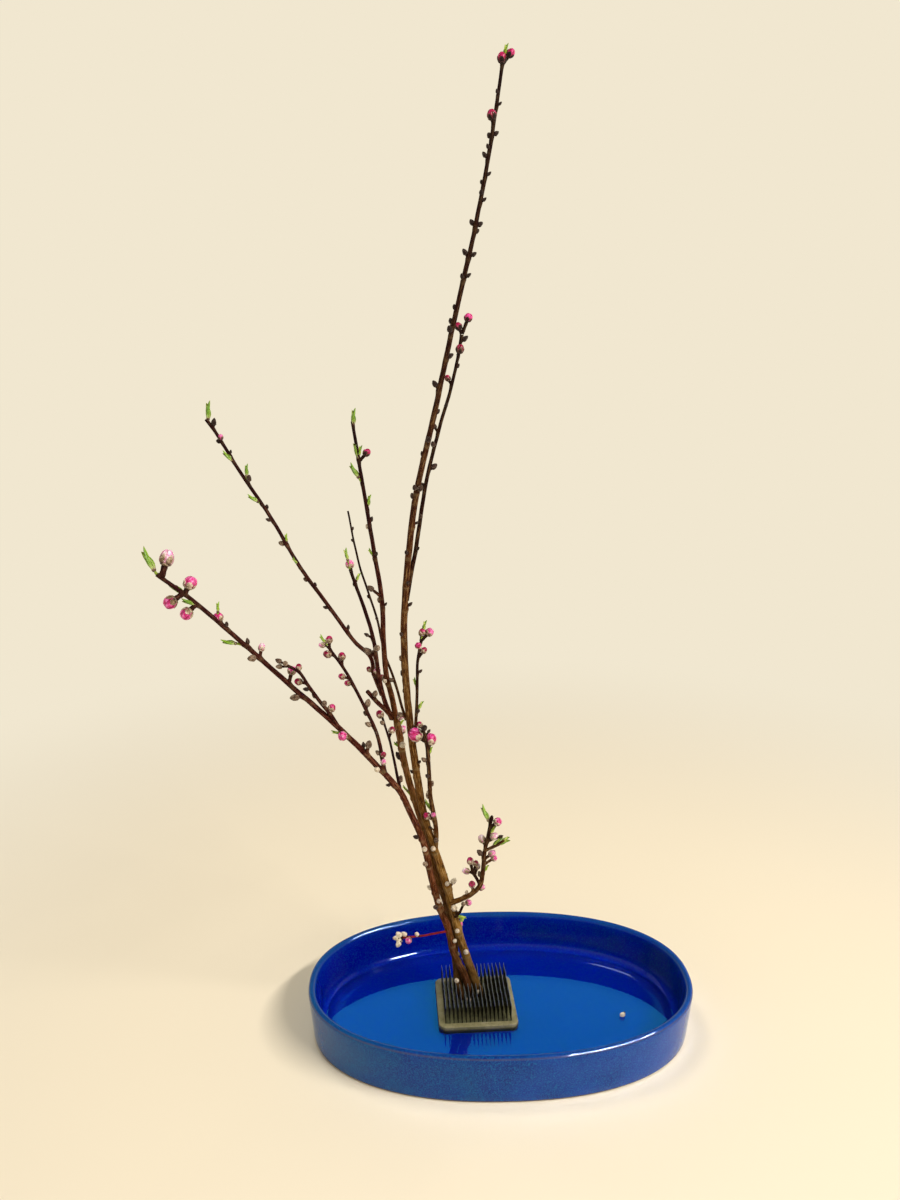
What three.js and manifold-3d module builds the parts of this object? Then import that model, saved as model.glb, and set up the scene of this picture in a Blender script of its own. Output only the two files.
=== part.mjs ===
// Budding peach branches standing on a pin holder in a shallow oval water bowl.
// Millimetres, +Z up. The origin is the middle of the bowl's flat underside, with its long side along X.
import * as THREE from 'three';
import { mergeVertices } from 'three/addons/utils/BufferGeometryUtils.js';
import Module from 'manifold-3d';

const wasm = await Module();
wasm.setup();

// Bowl: a superellipse between an ellipse and a rounded rectangle
const bowlLength = 350;
const bowlWidth = 217;
const bowlHeight = 46.5;
const bowlSquareness = 2.23;
const bowlSegments = 56;
const floorThickness = 5;
const waterLevel = 10;
const seatGap = 0.3;
const waterGap = 0.35;

// Outer wall, rounded lip, inner wall and the wide curve down to the floor: [inset, height]
const bowlOutside = [[5.4, 0], [4, 1.2], [0.3, bowlHeight - 3.4], [0.7, bowlHeight - 1.2]];
const bowlLip = [[2.4, bowlHeight - 0.1], [4.4, bowlHeight], [6.2, bowlHeight - 1.1], [7, bowlHeight - 3]];
const bowlInside = [[11.4, 18], [13.2, 13.5], [15.8, 9.8], [19.8, 7], [25, 5.5], [32, floorThickness]];

// Pin holder: a cast plate with rows of pins
const plateSide = 72;
const plateCorner = 7;
const plateEdgeRound = 0.8;
const plateThickness = 9;
const plateCentre = [-21.9, 9.3];
const plateTurn = THREE.MathUtils.degToRad(2);
const pinsAcross = 17;
const pinPitch = 3.7;
const pinLength = 20;
const pinRadius = 0.8;
const pinSunk = 1;
const pinClearance = 0.3;

const plateBottom = floorThickness + seatGap;
const plateTop = plateBottom + plateThickness;

// A shed bud scale that floats on the water
const fallenScalePlace = [112, -12];
const fallenScaleSize = [5.4, 3.2, 1];
const fallenScaleTurn = 0.5;
const fallenScaleRings = [[0.45, 0], [1, 1], [0.8, 1], [0.35, 0.6]];
const fallenScaleSides = 8;

// Each bud kind: its rings as [radius, height from the bud's middle] and its tip, all per unit of size
const budForms = {
  crimson: { sides: 5, rings: [[0.5, -0.08], [0.34, 0.36]], tip: 0.56 },
  pink: { sides: 5, rings: [[0.5, -0.1], [0.38, 0.34]], tip: 0.5 },
  pale: { sides: 5, rings: [[0.46, -0.14], [0.34, 0.34]], tip: 0.6 },
  grey: { sides: 4, rings: [[0.52, -0.05]], tip: 0.85 },
  cream: { sides: 4, rings: [[0.54, -0.1]], tip: 0.75 },
  dark: { sides: 4, rings: [[0.48, -0.1]], tip: 0.8 },
};

// A leaf sprout: narrow folded blades that fan out from one root
const bladeThickness = 1;
const bladeWidthShare = 0.12;
const bladeExtraWidth = 0.5;
const bladeFold = 0.4;
const bladeRings = [[0, 0.6], [0.5, 1]];
const bladeSpread = 0.16;
const bladeTurn = 0.3;
const bladeShorter = 0.14;
const longSprout = 10;
const stalkRadius = 0.8;
const stalkOverlap = 0.8;

// Shoots and bud necks; shares are of the bud's size or of the shoot's radius
const stemStep = 24;
const usualLean = 45;
const leafLean = 25;
const seatShare = 0.42;
const leafSeatShare = 0.7;
const sinkShare = 0.35;
const neckSizeShare = 0.3;
const neckStemShare = 0.7;
const neckMinRadius = 0.9;
const longNeckShare = 1.5;
const joinTolerance = 0.3;

// Every shoot is a list of points up its middle, with its radius at the base and at the tip.
// Each bud row: distance up the shoot, side in degrees (0 right, 90 back, 180 left, 270 front),
// kind, size, then, only where they differ from the usual, distance from the middle line to the bud's
// middle and lean away from the shoot in degrees.
const tallBranch = [
  {
    radii: [4.2, 1.3],
    sides: 7,
    points: [
      [-16, 17, 11], [-23, 17, 33], [-33, 17, 65], [-40, 17, 91], [-48, 16, 128], [-61, 15, 173],
      [-69, 14, 204], [-75, 12, 245], [-80, 9, 291], [-84, 6, 347], [-84, 4, 387], [-80, 2, 439],
      [-73, 1, 492], [-59, 3, 552], [-43, 8, 624], [-26, 15, 696], [-14, 22, 758], [-6, 28, 810],
    ],
    buds: [
      [6, 270, 'cream', 4], [44, 180, 'cream', 4, 4], [50, 290, 'cream', 5], [74, 270, 'cream', 4.5],
      [78, 40, 'pink', 6.3, 4.5, 50], [81, 25, 'leaf', 7, 8.5, 65], [120, 0, 'cream', 5.5, 10.5],
      [123, 60, 'leaf', 6], [124, 290, 'cream', 4.5], [162, 270, 'cream', 5], [237, 150, 'dark', 3.5],
      [248, 330, 'dark', 3.5], [313, 120, 'dark', 4], [329, 120, 'dark', 5], [368, 240, 'dark', 4],
      [393, 0, 'dark', 4], [413, 290, 'dark', 3.5], [438, 240, 'dark', 4], [463, 0, 'dark', 3],
      [491, 240, 'grey', 4.5], [491, 300, 'grey', 5], [518, 120, 'dark', 4], [530, 270, 'grey', 5],
      [573, 180, 'grey', 5], [598, 0, 'grey', 4.5, 4], [616, 240, 'grey', 5], [634, 120, 'dark', 4.5],
      [657, 240, 'dark', 4], [659, 330, 'dark', 4], [675, 180, 'grey', 4.5], [675, 340, 'grey', 4],
      [698, 30, 'grey', 4.5], [698, 150, 'grey', 4.5], [716, 330, 'dark', 3.5], [720, 260, 'grey', 4],
      [729, 120, 'dark', 4], [735, 330, 'dark', 3.5], [748, 180, 'grey', 4, 4.5], [754, 230, 'dark', 3.5],
      [765, 30, 'dark', 4.5], [773, 215, 'crimson', 7.5, 7.5, 25], [786, 330, 'dark', 3],
      [794, 240, 'dark', 3], [815, 240, 'crimson', 7.5, 6, 20], [817, 280, 'leaf', 9, 10, 20],
      [817, 330, 'crimson', 6.5, 9.5, 35],
    ],
  },
  {
    // the fork that runs close beside the tall shoot
    radii: [1.9, 1.2],
    sides: 5,
    points: [
      [-82, 4, 403], [-78, 6, 424], [-73, 9, 450], [-65, 14, 499], [-55, 17, 539], [-43, 20, 580],
      [-36, 21, 615],
    ],
    buds: [
      [41, 300, 'dark', 3.5], [67, 270, 'grey', 4], [108, 30, 'grey', 5.5], [126, 240, 'grey', 4.5],
      [139, 180, 'grey', 4.5, 6], [159, 270, 'dark', 4], [178, 180, 'crimson', 5, 6.5],
      [191, 60, 'dark', 4], [201, 355, 'crimson', 7, 6, 5], [212, 30, 'dark', 5.5],
      [218, 180, 'crimson', 6.2, 7, 35], [218, 350, 'pink', 6.5, 14, 10],
    ],
  },
  {
    // a thin bare twig that passes behind the middle branch
    radii: [1.2, 0.8],
    sides: 5,
    points: [
      [-83, 9, 295], [-86, 12, 303], [-93, 21, 326], [-102, 34, 349], [-108, 42, 376], [-123, 52, 423],
      [-132, 60, 468],
    ],
    buds: [
      [3, 180, 'grey', 5], [34, 215, 'grey', 4], [90, 270, 'dark', 3.5], [110, 120, 'dark', 3.5],
      [161, 240, 'dark', 3], [171, 60, 'dark', 3],
    ],
  },
  {
    radii: [1.5, 1.1],
    sides: 5,
    points: [[-77, 10, 272], [-75, 3, 297], [-74, 0, 319], [-73, -3, 353], [-70, -4, 371]],
    buds: [
      [34, 45, 'leaf', 8, 7.5, 40], [34, 300, 'dark', 4], [57, 130, 'leaf', 8, 5.5, 30],
      [70, 0, 'dark', 3.5], [84, 30, 'crimson', 5.5, 8.5, 35], [93, 240, 'crimson', 5.8],
      [99, 90, 'crimson', 6.5, 8, 20], [100, 25, 'pink', 6.8, 10, 40], [101, 80, 'leaf', 9, 12.5, 20],
    ],
  },
  {
    radii: [2.2, 1.6],
    sides: 5,
    points: [[-59, 15, 169], [-58, 11, 189], [-63, 7, 225], [-64, 5, 247], [-66, 3, 275], [-69, 1, 289]],
    buds: [
      [9, 270, 'grey', 5], [19, 180, 'dark', 3, 7], [31, 180, 'crimson', 6.8, 8.5], [36, 270, 'pink', 4],
      [39, 135, 'leaf', 10, 9, 40], [55, 120, 'cream', 3.5], [63, 60, 'grey', 4.5],
      [75, 240, 'dark', 4.5], [89, 180, 'grey', 4.5], [95, 45, 'leaf', 6.5, 6.5, 35],
      [102, 50, 'pink', 10, 9.5, 35], [111, 180, 'pink', 11.5, 11], [115, 0, 'dark', 3.5, 6.5],
      [122, 120, 'crimson', 5.5], [122, 300, 'dark', 6.5],
    ],
  },
  {
    // the low sprig on the right, with its two short side twigs
    radii: [2.4, 1.4],
    sides: 5,
    points: [
      [-46, 16, 113], [-37, 10, 120], [-27, 4, 129], [-19, 0, 141], [-17, -2, 156], [-16, -3, 172],
      [-13, -5, 192], [-10, -7, 211],
    ],
    buds: [
      [20, 120, 'cream', 3.5], [31, 180, 'crimson', 6.3, 12], [34, 30, 'pale', 5.5],
      [39, 60, 'cream', 3.5], [55, 40, 'leaf', 6.5, 6, 45], [64, 15, 'pink', 5.3, 11, 60],
      [69, 0, 'pale', 6.2, 9.5], [72, 180, 'grey', 5.5], [83, 135, 'pale', 6.8, 7, 50],
      [88, 10, 'dark', 4, 13, 65], [89, 0, 'pale', 6.3, 7.5], [93, 40, 'leaf', 8, 8, 40],
      [102, 20, 'pink', 7, 9, 50], [104, 80, 'dark', 5, 6.5, 35], [106, 135, 'leaf', 14, 11, 50],
    ],
  },
  {
    radii: [1.5, 1.1],
    sides: 5,
    points: [[-19, 0, 140], [-22, -1, 147], [-26, -2, 154]],
    buds: [
      [12, 40, 'pale', 5, 8.5, 60], [15, 45, 'crimson', 5.2, 9, 60], [16, 70, 'crimson', 6.3, 10.5, 40],
      [16, 165, 'pale', 6, 6, 50],
    ],
  },
  {
    radii: [1.3, 1],
    sides: 5,
    points: [[-15, -4, 177], [-5, -6, 183], [1, -7, 188]],
    buds: [[7, 100, 'leaf', 11, 7, 30], [12, 35, 'leaf', 11, 6.5, 20], [14, 65, 'leaf', 9, 6.5, 20]],
  },
  {
    radii: [1.5, 1.1],
    sides: 5,
    points: [[-44, 17, 97], [-38, 11, 105], [-33, 6, 119]],
    buds: [
      [6, 350, 'leaf', 8, 6.5, 60], [11, 180, 'cream', 6, 12.5], [26, 10, 'pink', 5.5, 4.5, 60],
      [26, 240, 'grey', 4.8],
    ],
  },
];

const middleBranch = [
  {
    radii: [3.5, 2.9],
    sides: 7,
    points: [
      [-33, 11, 11], [-38, 17, 30], [-40, 22, 47], [-42, 24, 75], [-48, 24, 106], [-56, 22.5, 133],
      [-65, 22, 169], [-74, 22, 204], [-84, 24, 241], [-91, 24, 283],
    ],
    buds: [
      [18, 260, 'cream', 4.5], [72, 240, 'cream', 4.2], [81, 120, 'cream', 4], [94, 180, 'cream', 4],
      [211, 180, 'leaf', 6, 13], [244, 145, 'dark', 7, 9.5, 30], [260, 165, 'leaf', 7, 5.5, 50],
      [260, 290, 'cream', 5.8], [269, 40, 'pale', 6.3, 8.5, 35],
    ],
  },
  {
    radii: [2.6, 1.3],
    sides: 5,
    points: [
      [-91, 24, 281], [-95, 24, 307], [-100, 24, 330], [-102, 24, 358], [-103, 27, 397],
      [-109, 30, 439], [-117, 34, 492], [-122, 38, 525], [-125, 40, 546],
    ],
    buds: [
      [2, 20, 'leaf', 6, 5.5, 55], [7, 330, 'pale', 6], [43, 240, 'cream', 4], [44, 150, 'crimson', 5.5],
      [110, 30, 'dark', 3], [120, 180, 'grey', 5.5, 11.5], [153, 170, 'leaf', 7, 7, 25],
      [154, 300, 'dark', 4], [177, 120, 'cream', 4.5], [195, 20, 'leaf', 10, 8, 20],
      [217, 180, 'leaf', 13, 13, 25], [235, 5, 'crimson', 6.5, 10, 50], [237, 190, 'leaf', 14, 8.5, 5],
      [238, 0, 'leaf', 9, 6.5, 20], [265, 0, 'leaf', 13, 7.5, 10],
    ],
  },
  {
    radii: [2.2, 1.3],
    sides: 5,
    points: [
      [-96, 24, 291], [-102, 18, 310], [-106, 10, 335], [-109, 3, 365], [-115, -8, 396],
      [-121, -15, 417], [-126, -20, 435],
    ],
    buds: [
      [66, 180, 'grey', 6.5, 9.5], [73, 300, 'grey', 6], [85, 180, 'dark', 4, 6.5],
      [136, 120, 'dark', 3.5], [141, 40, 'leaf', 7, 6, 50], [150, 85, 'pink', 6.6, 8, 30],
      [154, 90, 'leaf', 9.5, 13, 25],
    ],
  },
  {
    // the long shoot to the upper left
    radii: [1.8, 1.4],
    sides: 5,
    points: [
      [-104, 16, 316], [-110, 14, 334], [-113, 13, 351], [-126, 15, 364], [-146, 22, 391],
      [-172, 32, 426], [-195, 44, 464], [-223, 58, 504], [-244, 70, 536], [-251, 73, 545],
    ],
    buds: [
      [20, 330, 'pale', 6], [21, 150, 'crimson', 5], [65, 30, 'dark', 4], [90, 150, 'dark', 4],
      [111, 60, 'dark', 4], [133, 240, 'leaf', 7.5, 7, 10], [155, 150, 'grey', 5],
      [155, 345, 'leaf', 7, 6.5, 25], [178, 210, 'dark', 4], [196, 205, 'leaf', 10, 9, 30],
      [216, 330, 'grey', 5], [219, 340, 'leaf', 10, 10, 35], [239, 225, 'leaf', 11, 7.5, 25],
      [245, 330, 'dark', 3], [259, 300, 'pale', 4.5], [273, 345, 'dark', 6, 5.5, 45],
      [280, 340, 'leaf', 15, 10.5, 40],
    ],
  },
  {
    // a spur that was cut back in an earlier season
    radii: [2.1, 1.8],
    sides: 5,
    points: [[-95, 24, 291], [-101, 20, 300], [-108, 14, 310], [-116, 8, 322]],
    buds: [[31, 0, 'grey', 5.5]],
  },
];

const leftBranch = [
  {
    radii: [3.6, 1.5],
    sides: 7,
    points: [
      [-24.5, 14, 11], [-32, 14, 38], [-42, 14, 62], [-47, 14, 87], [-55, 14, 110], [-62, 12, 140],
      [-70, 8, 181], [-80, 4, 209], [-89, -2, 233], [-113, -14, 269], [-141, -28, 307],
      [-177, -44, 350], [-217, -61, 398], [-243, -73, 428], [-262, -82, 447],
    ],
    buds: [
      [0, 240, 'cream', 5], [44, 60, 'cream', 4], [46, 120, 'leaf', 7],
      [64, 320, 'cream', 4], [103, 240, 'dark', 5.5], [109, 290, 'cream', 4.2], [120, 150, 'cream', 4.5],
      [150, 240, 'grey', 5], [166, 270, 'cream', 5], [179, 210, 'dark', 5],
      [243, 210, 'dark', 4], [263, 0, 'pale', 5, 10], [265, 270, 'cream', 5], [285, 0, 'grey', 6.5, 12],
      [312, 270, 'pink', 7.4], [314, 175, 'leaf', 8, 8, 45], [366, 210, 'grey', 6.5],
      [380, 125, 'leaf', 9, 7.5, 25], [383, 45, 'pink', 7, 11, 65], [416, 45, 'pale', 5.8, 8.5, 60],
      [417, 240, 'grey', 6.2], [433, 185, 'leaf', 11, 12.5, 40], [452, 0, 'dark', 4],
      [456, 75, 'pink', 7.2, 7.5, 30], [461, 50, 'leaf', 7.5, 11.5, 50], [482, 240, 'leaf', 11],
      [483, 215, 'pink', 9, 10.5, 85], [495, 40, 'pink', 9.6, 9.5, 80], [495, 140, 'leaf', 14, 8, 20],
      [496, 210, 'pink', 9.6, 11.5, 75], [516, 45, 'pale', 11, 15, 70], [520, 75, 'leaf', 17.5, 13.5, 30],
    ],
  },
  {
    radii: [1.7, 1.1],
    sides: 5,
    points: [
      [-138, -27, 303], [-144, -32, 317], [-152, -36, 330], [-160, -42, 346], [-166, -48, 359],
      [-176, -54, 368],
    ],
    buds: [
      [19, 35, 'crimson', 6.6, 4, 75], [26, 330, 'grey', 5], [46, 210, 'dark', 4.5],
      [53, 175, 'crimson', 6, 7, 55], [66, 70, 'crimson', 5.2, 4.5, 50], [77, 180, 'grey', 4.6, 7.5],
      [80, 330, 'grey', 4.6], [81, 140, 'grey', 4.6, 5.5, 30],
    ],
  },
  {
    radii: [1.7, 1.2],
    sides: 5,
    points: [[-102, -9, 255], [-108, -5, 288], [-120, 0, 315], [-134, 2, 343], [-148, 4, 364]],
    buds: [
      [13, 300, 'crimson', 5], [14, 150, 'grey', 4.2], [33, 270, 'dark', 3.5], [41, 180, 'grey', 5],
      [57, 30, 'grey', 6], [81, 180, 'crimson', 5.2], [87, 180, 'crimson', 5.6, 7],
      [100, 25, 'crimson', 6.6, 8, 35], [111, 180, 'crimson', 6.8], [118, 20, 'crimson', 6.2, 7.5, 35],
      [121, 105, 'leaf', 8, 7.5, 5], [121, 180, 'pale', 5],
    ],
  },
  {
    radii: [1.3, 0.9],
    sides: 5,
    points: [[-89, -2, 234], [-94, 2, 260], [-97, 5, 275], [-104, 9, 299]],
    buds: [
      [6, 60, 'grey', 5.5], [48, 20, 'crimson', 6, 7, 40], [60, 240, 'grey', 4.2],
      [66, 155, 'crimson', 6.8, 4, 20],
    ],
  },
  {
    // a thin red twig low down, reaching left over the water
    radii: [1, 0.8],
    sides: 5,
    points: [[-48, 13, 86], [-60, 5, 89], [-73, -3, 92], [-89, -11, 96]],
    buds: [
      [32, 60, 'pale', 4], [40, 300, 'pink', 5.5], [43, 120, 'pale', 5], [48, 240, 'pale', 5],
      [48, 270, 'pale', 5, 7, 50], [49, 90, 'pale', 5.5, 4.5, 40], [49, 180, 'pale', 4.5, 6, 15],
    ],
  },
];

// Small buds on the far side of the stout shoots, every so often, turned a little each way
const backBudSpacing = 70;
const backBudStartShare = 0.42;
const backBudEndGap = 20;
const backBudSwing = 35;
const backBudSize = 4.5;
const backBudMinRadius = 1.4;

function material(color, roughness, metalness = 0) {
  return new THREE.MeshStandardMaterial({ color, roughness, metalness });
}

// Closed surface through rings with the same number of points, shut at each end by a point
function loft(rings, first, last) {
  const sides = rings[0].length;
  const vertices = [first, ...rings.flat(), last];
  const end = vertices.length - 1;
  const at = (ring, side) => 1 + ring * sides + (side % sides);
  const index = [];
  for (let side = 0; side < sides; side++) {
    index.push(0, at(0, side + 1), at(0, side));
    for (let ring = 0; ring < rings.length - 1; ring++) {
      index.push(at(ring, side), at(ring, side + 1), at(ring + 1, side + 1));
      index.push(at(ring, side), at(ring + 1, side + 1), at(ring + 1, side));
    }
    index.push(at(rings.length - 1, side), at(rings.length - 1, side + 1), end);
  }
  const geometry = new THREE.BufferGeometry().setFromPoints(vertices);
  geometry.setIndex(index);
  return geometry;
}

function toSolid(geometry) {
  const plain = geometry.clone();
  plain.deleteAttribute('normal');
  plain.deleteAttribute('uv');
  const merged = mergeVertices(plain);
  const vertProperties = new Float32Array(merged.attributes.position.array);
  const triVerts = new Uint32Array(merged.index.array);
  return new wasm.Manifold(new wasm.Mesh({ numProp: 3, vertProperties, triVerts }));
}

function toGeometry(solid) {
  const { vertProperties, triVerts } = solid.getMesh();
  const geometry = new THREE.BufferGeometry();
  geometry.setAttribute('position', new THREE.BufferAttribute(new Float32Array(vertProperties), 3));
  geometry.setIndex(new THREE.BufferAttribute(new Uint32Array(triVerts), 1));
  geometry.computeVertexNormals();
  return geometry;
}

// The joined body alone, with the tiny hollows filled that close up where buds and blades meet
function outerBody(solid) {
  const bodies = solid.decompose();
  return bodies.reduce((largest, body) => (body.volume() > largest.volume() ? body : largest));
}

function ringAround(centre, across, over, radius, sides) {
  const ring = [];
  for (let side = 0; side < sides; side++) {
    const turn = (side / sides) * 2 * Math.PI;
    const point = centre.clone();
    point.addScaledVector(across, Math.cos(turn) * radius);
    point.addScaledVector(over, Math.sin(turn) * radius);
    ring.push(point);
  }
  return ring;
}

// One level ring of the bowl's outline, drawn in from the outermost edge
function bowlRing(inset, z) {
  const power = 2 / bowlSquareness;
  const ring = [];
  for (let segment = 0; segment < bowlSegments; segment++) {
    const turn = (segment / bowlSegments) * 2 * Math.PI;
    const c = Math.cos(turn);
    const s = Math.sin(turn);
    const x = (bowlLength / 2 - inset) * Math.sign(c) * Math.abs(c) ** power;
    const y = (bowlWidth / 2 - inset) * Math.sign(s) * Math.abs(s) ** power;
    ring.push(new THREE.Vector3(x, y, z));
  }
  return ring;
}

function bowlGeometry() {
  const rings = [...bowlOutside, ...bowlLip, ...bowlInside].map(([inset, z]) => bowlRing(inset, z));
  return loft(rings, new THREE.Vector3(0, 0, 0), new THREE.Vector3(0, 0, floorThickness));
}

// Outline of the pin holder's plate, grown or shrunk evenly, in its own axes
function plateShape(grow) {
  const half = plateSide / 2 + grow;
  const corner = plateCorner + grow;
  const shape = new THREE.Shape();
  for (const [quarter, x, y] of [[0, 1, 1], [1, -1, 1], [2, -1, -1], [3, 1, -1]]) {
    const start = (quarter * Math.PI) / 2;
    shape.absarc(x * (half - corner), y * (half - corner), corner, start, start + Math.PI / 2, false);
  }
  return shape;
}

function platePrism(grow, bottom, height, edgeRound) {
  const geometry = new THREE.ExtrudeGeometry(plateShape(grow - edgeRound), {
    depth: height - 2 * edgeRound,
    bevelEnabled: edgeRound > 0,
    bevelThickness: edgeRound,
    bevelSize: edgeRound,
    bevelSegments: 1,
    curveSegments: 4,
  });
  geometry.rotateZ(plateTurn);
  geometry.translate(plateCentre[0], plateCentre[1], bottom + edgeRound);
  return geometry;
}

// The water follows the bowl's inner curve and leaves room for the pin holder's plate
function waterSolid() {
  const wetted = bowlInside.filter(([, z]) => z < waterLevel).reverse();
  const rings = wetted.map(([inset, z]) => bowlRing(inset + waterGap, Math.min(z + waterGap, waterLevel)));
  const bottom = new THREE.Vector3(0, 0, floorThickness + waterGap);
  const body = toSolid(loft(rings, bottom, new THREE.Vector3(0, 0, waterLevel)));
  return body.subtract(toSolid(platePrism(seatGap, 0, bowlHeight, 0)));
}

function pinSolid(column, row) {
  const middle = (pinsAcross - 1) / 2;
  const x = (column - middle) * pinPitch;
  const y = (row - middle) * pinPitch;
  const place = new THREE.Vector3(x, y, plateTop - pinSunk);
  place.applyAxisAngle(new THREE.Vector3(0, 0, 1), plateTurn);
  place.x += plateCentre[0];
  place.y += plateCentre[1];
  const east = new THREE.Vector3(1, 0, 0);
  const north = new THREE.Vector3(0, 1, 0);
  const foot = ringAround(place, east, north, pinRadius, 3);
  return toSolid(loft([foot], place, place.clone().setZ(plateTop + pinLength)));
}

// The plate and every pin that no stem stands on
function holderSolid(branches) {
  const parts = [toSolid(platePrism(0, plateBottom, plateThickness, plateEdgeRound))];
  for (let column = 0; column < pinsAcross; column++) {
    for (let row = 0; row < pinsAcross; row++) {
      const pin = pinSolid(column, row);
      if (branches.every((branch) => pin.minGap(branch, 1) >= pinClearance)) parts.push(pin);
    }
  }
  return outerBody(wasm.Manifold.union(parts));
}

// Directions across a shoot: one to the right as far as it can be, one towards the back
function framesAt(tangent) {
  const right = new THREE.Vector3(1, 0, 0);
  right.addScaledVector(tangent, -right.dot(tangent)).normalize();
  const back = new THREE.Vector3().crossVectors(tangent, right);
  return { right, back };
}

const radiusAt = (shoot, share) => THREE.MathUtils.lerp(shoot.radii[0], shoot.radii[1], share);

function stemSolid(shoot) {
  const { curve, length } = shoot;
  const steps = Math.max(2, Math.round(length / stemStep));
  const rings = [];
  for (let step = 0; step <= steps; step++) {
    const share = step / steps;
    const { right, back } = framesAt(curve.getTangentAt(share));
    rings.push(ringAround(curve.getPointAt(share), right, back, radiusAt(shoot, share), shoot.sides));
  }
  return toSolid(loft(rings, curve.getPointAt(0), curve.getPointAt(1)));
}

// Where a bud starts on the middle line, which way it points and how far out its middle lies
function budPlace(shoot, [along, side, kind, size, reach, ownLean]) {
  const isLeaf = kind === 'leaf';
  const lean = ownLean ?? (isLeaf ? leafLean : usualLean);
  const share = Math.min(along / shoot.length, 1);
  const tangent = shoot.curve.getTangentAt(share);
  const { right, back } = framesAt(tangent);
  const radius = radiusAt(shoot, share);
  const turn = THREE.MathUtils.degToRad(side);
  const tilt = THREE.MathUtils.degToRad(lean);
  const outward = right.multiplyScalar(Math.cos(turn)).addScaledVector(back, Math.sin(turn));
  const direction = tangent.multiplyScalar(Math.cos(tilt)).addScaledVector(outward, Math.sin(tilt));
  const seated = isLeaf ? leafSeatShare * radius : radius + seatShare * size;
  const distance = reach ?? seated / Math.sin(tilt) + (isLeaf ? size / 2 : 0);
  const across = new THREE.Vector3(0, 1, 0).cross(direction).normalize();
  const over = new THREE.Vector3().crossVectors(direction, across);
  const root = shoot.curve.getPointAt(share);
  const at = (height) => root.clone().addScaledVector(direction, height);
  return { at, direction, across, over, distance, radius, kind, size };
}

function budSolid({ at, across, over, distance, radius, kind, size }) {
  const form = budForms[kind];
  const sunk = radius * sinkShare;
  const throat = distance - size / 2;
  const neck = Math.min(neckSizeShare * size, Math.max(neckStemShare * radius, neckMinRadius));
  const rings = [ringAround(at(sunk), across, over, neck, form.sides)];
  if (throat > radius * longNeckShare) rings.push(ringAround(at(throat), across, over, neck, form.sides));
  for (const [width, height] of form.rings) {
    rings.push(ringAround(at(distance + height * size), across, over, width * size, form.sides));
  }
  return toSolid(loft(rings, at(sunk), at(distance + form.tip * size)));
}

// A narrow blade folded along its rib: left edge, back of the rib and right edge in each ring
function bladeSolid(foot, direction, facing, size) {
  const across = new THREE.Vector3().crossVectors(direction, facing).normalize();
  const over = new THREE.Vector3().crossVectors(across, direction);
  const halfWidth = bladeWidthShare * size + bladeExtraWidth;
  const rings = bladeRings.map(([height, width]) => {
    const middle = foot.clone().addScaledVector(direction, height * size);
    return [
      middle.clone().addScaledVector(across, halfWidth * width).addScaledVector(over, bladeFold),
      middle.clone().addScaledVector(over, bladeFold - bladeThickness),
      middle.clone().addScaledVector(across, -halfWidth * width).addScaledVector(over, bladeFold),
    ];
  });
  const heel = foot.clone().addScaledVector(direction, -bladeFold);
  return toSolid(loft(rings, heel, foot.clone().addScaledVector(direction, size)));
}

function sproutSolids({ at, direction, across, over, distance, radius, size }) {
  const sunk = radius * sinkShare;
  const start = Math.max(sunk, distance - size / 2);
  const solids = [];
  if (start > radius) {
    const top = start + stalkOverlap;
    const stalk = [sunk, top].map((height) => ringAround(at(height), across, over, stalkRadius, 4));
    solids.push(toSolid(loft(stalk, at(sunk), at(top + stalkRadius / 2))));
  }
  const blades = size >= longSprout ? 3 : 2;
  for (let blade = 0; blade < blades; blade++) {
    const turn = (blade / blades) * 2 * Math.PI + bladeTurn;
    const aside = across.clone().multiplyScalar(Math.cos(turn)).addScaledVector(over, Math.sin(turn));
    const way = direction.clone().addScaledVector(aside, bladeSpread).normalize();
    solids.push(bladeSolid(at(start), way, aside, size * (1 - bladeShorter * blade)));
  }
  return solids;
}

function backBuds(shoot) {
  const rows = [];
  const end = shoot.length - backBudEndGap;
  let swing = 1;
  for (let along = backBudStartShare * shoot.length; along < end; along += backBudSpacing) {
    if (radiusAt(shoot, along / shoot.length) < backBudMinRadius) break;
    rows.push([along, 90 + swing * backBudSwing, swing > 0 ? 'grey' : 'dark', backBudSize]);
    swing = -swing;
  }
  return rows;
}

function branchSolid(shoots) {
  const solids = [];
  for (const entry of shoots) {
    const curve = new THREE.CatmullRomCurve3(entry.points.map((point) => new THREE.Vector3(...point)));
    curve.arcLengthDivisions = 600;
    const shoot = { ...entry, curve, length: curve.getLength() };
    solids.push(stemSolid(shoot));
    for (const row of [...entry.buds, ...backBuds(shoot)]) {
      const place = budPlace(shoot, row);
      if (place.kind === 'leaf') solids.push(...sproutSolids(place));
      else solids.push(budSolid(place));
    }
  }
  const joined = wasm.Manifold.union(solids).trimByPlane([0, 0, 1], plateTop + seatGap);
  return outerBody(joined.asOriginal().simplify(joinTolerance));
}

// A cupped husk, lying on its back on the water
function fallenScaleGeometry() {
  const [long, wide, deep] = fallenScaleSize;
  const rings = fallenScaleRings.map(([share, rise]) => {
    const ring = [];
    for (let side = 0; side < fallenScaleSides; side++) {
      const turn = (side / fallenScaleSides) * 2 * Math.PI;
      const x = (long / 2) * share * Math.cos(turn);
      ring.push(new THREE.Vector3(x, (wide / 2) * share * Math.sin(turn), deep * rise));
    }
    return ring;
  });
  const inside = fallenScaleRings.at(-1)[1] * deep;
  const geometry = loft(rings, new THREE.Vector3(0, 0, 0), new THREE.Vector3(0, 0, inside));
  geometry.rotateZ(fallenScaleTurn);
  geometry.translate(...fallenScalePlace, waterLevel + seatGap);
  return geometry;
}

const tall = branchSolid(tallBranch);
const middle = branchSolid(middleBranch);
const left = branchSolid(leftBranch);

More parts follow.
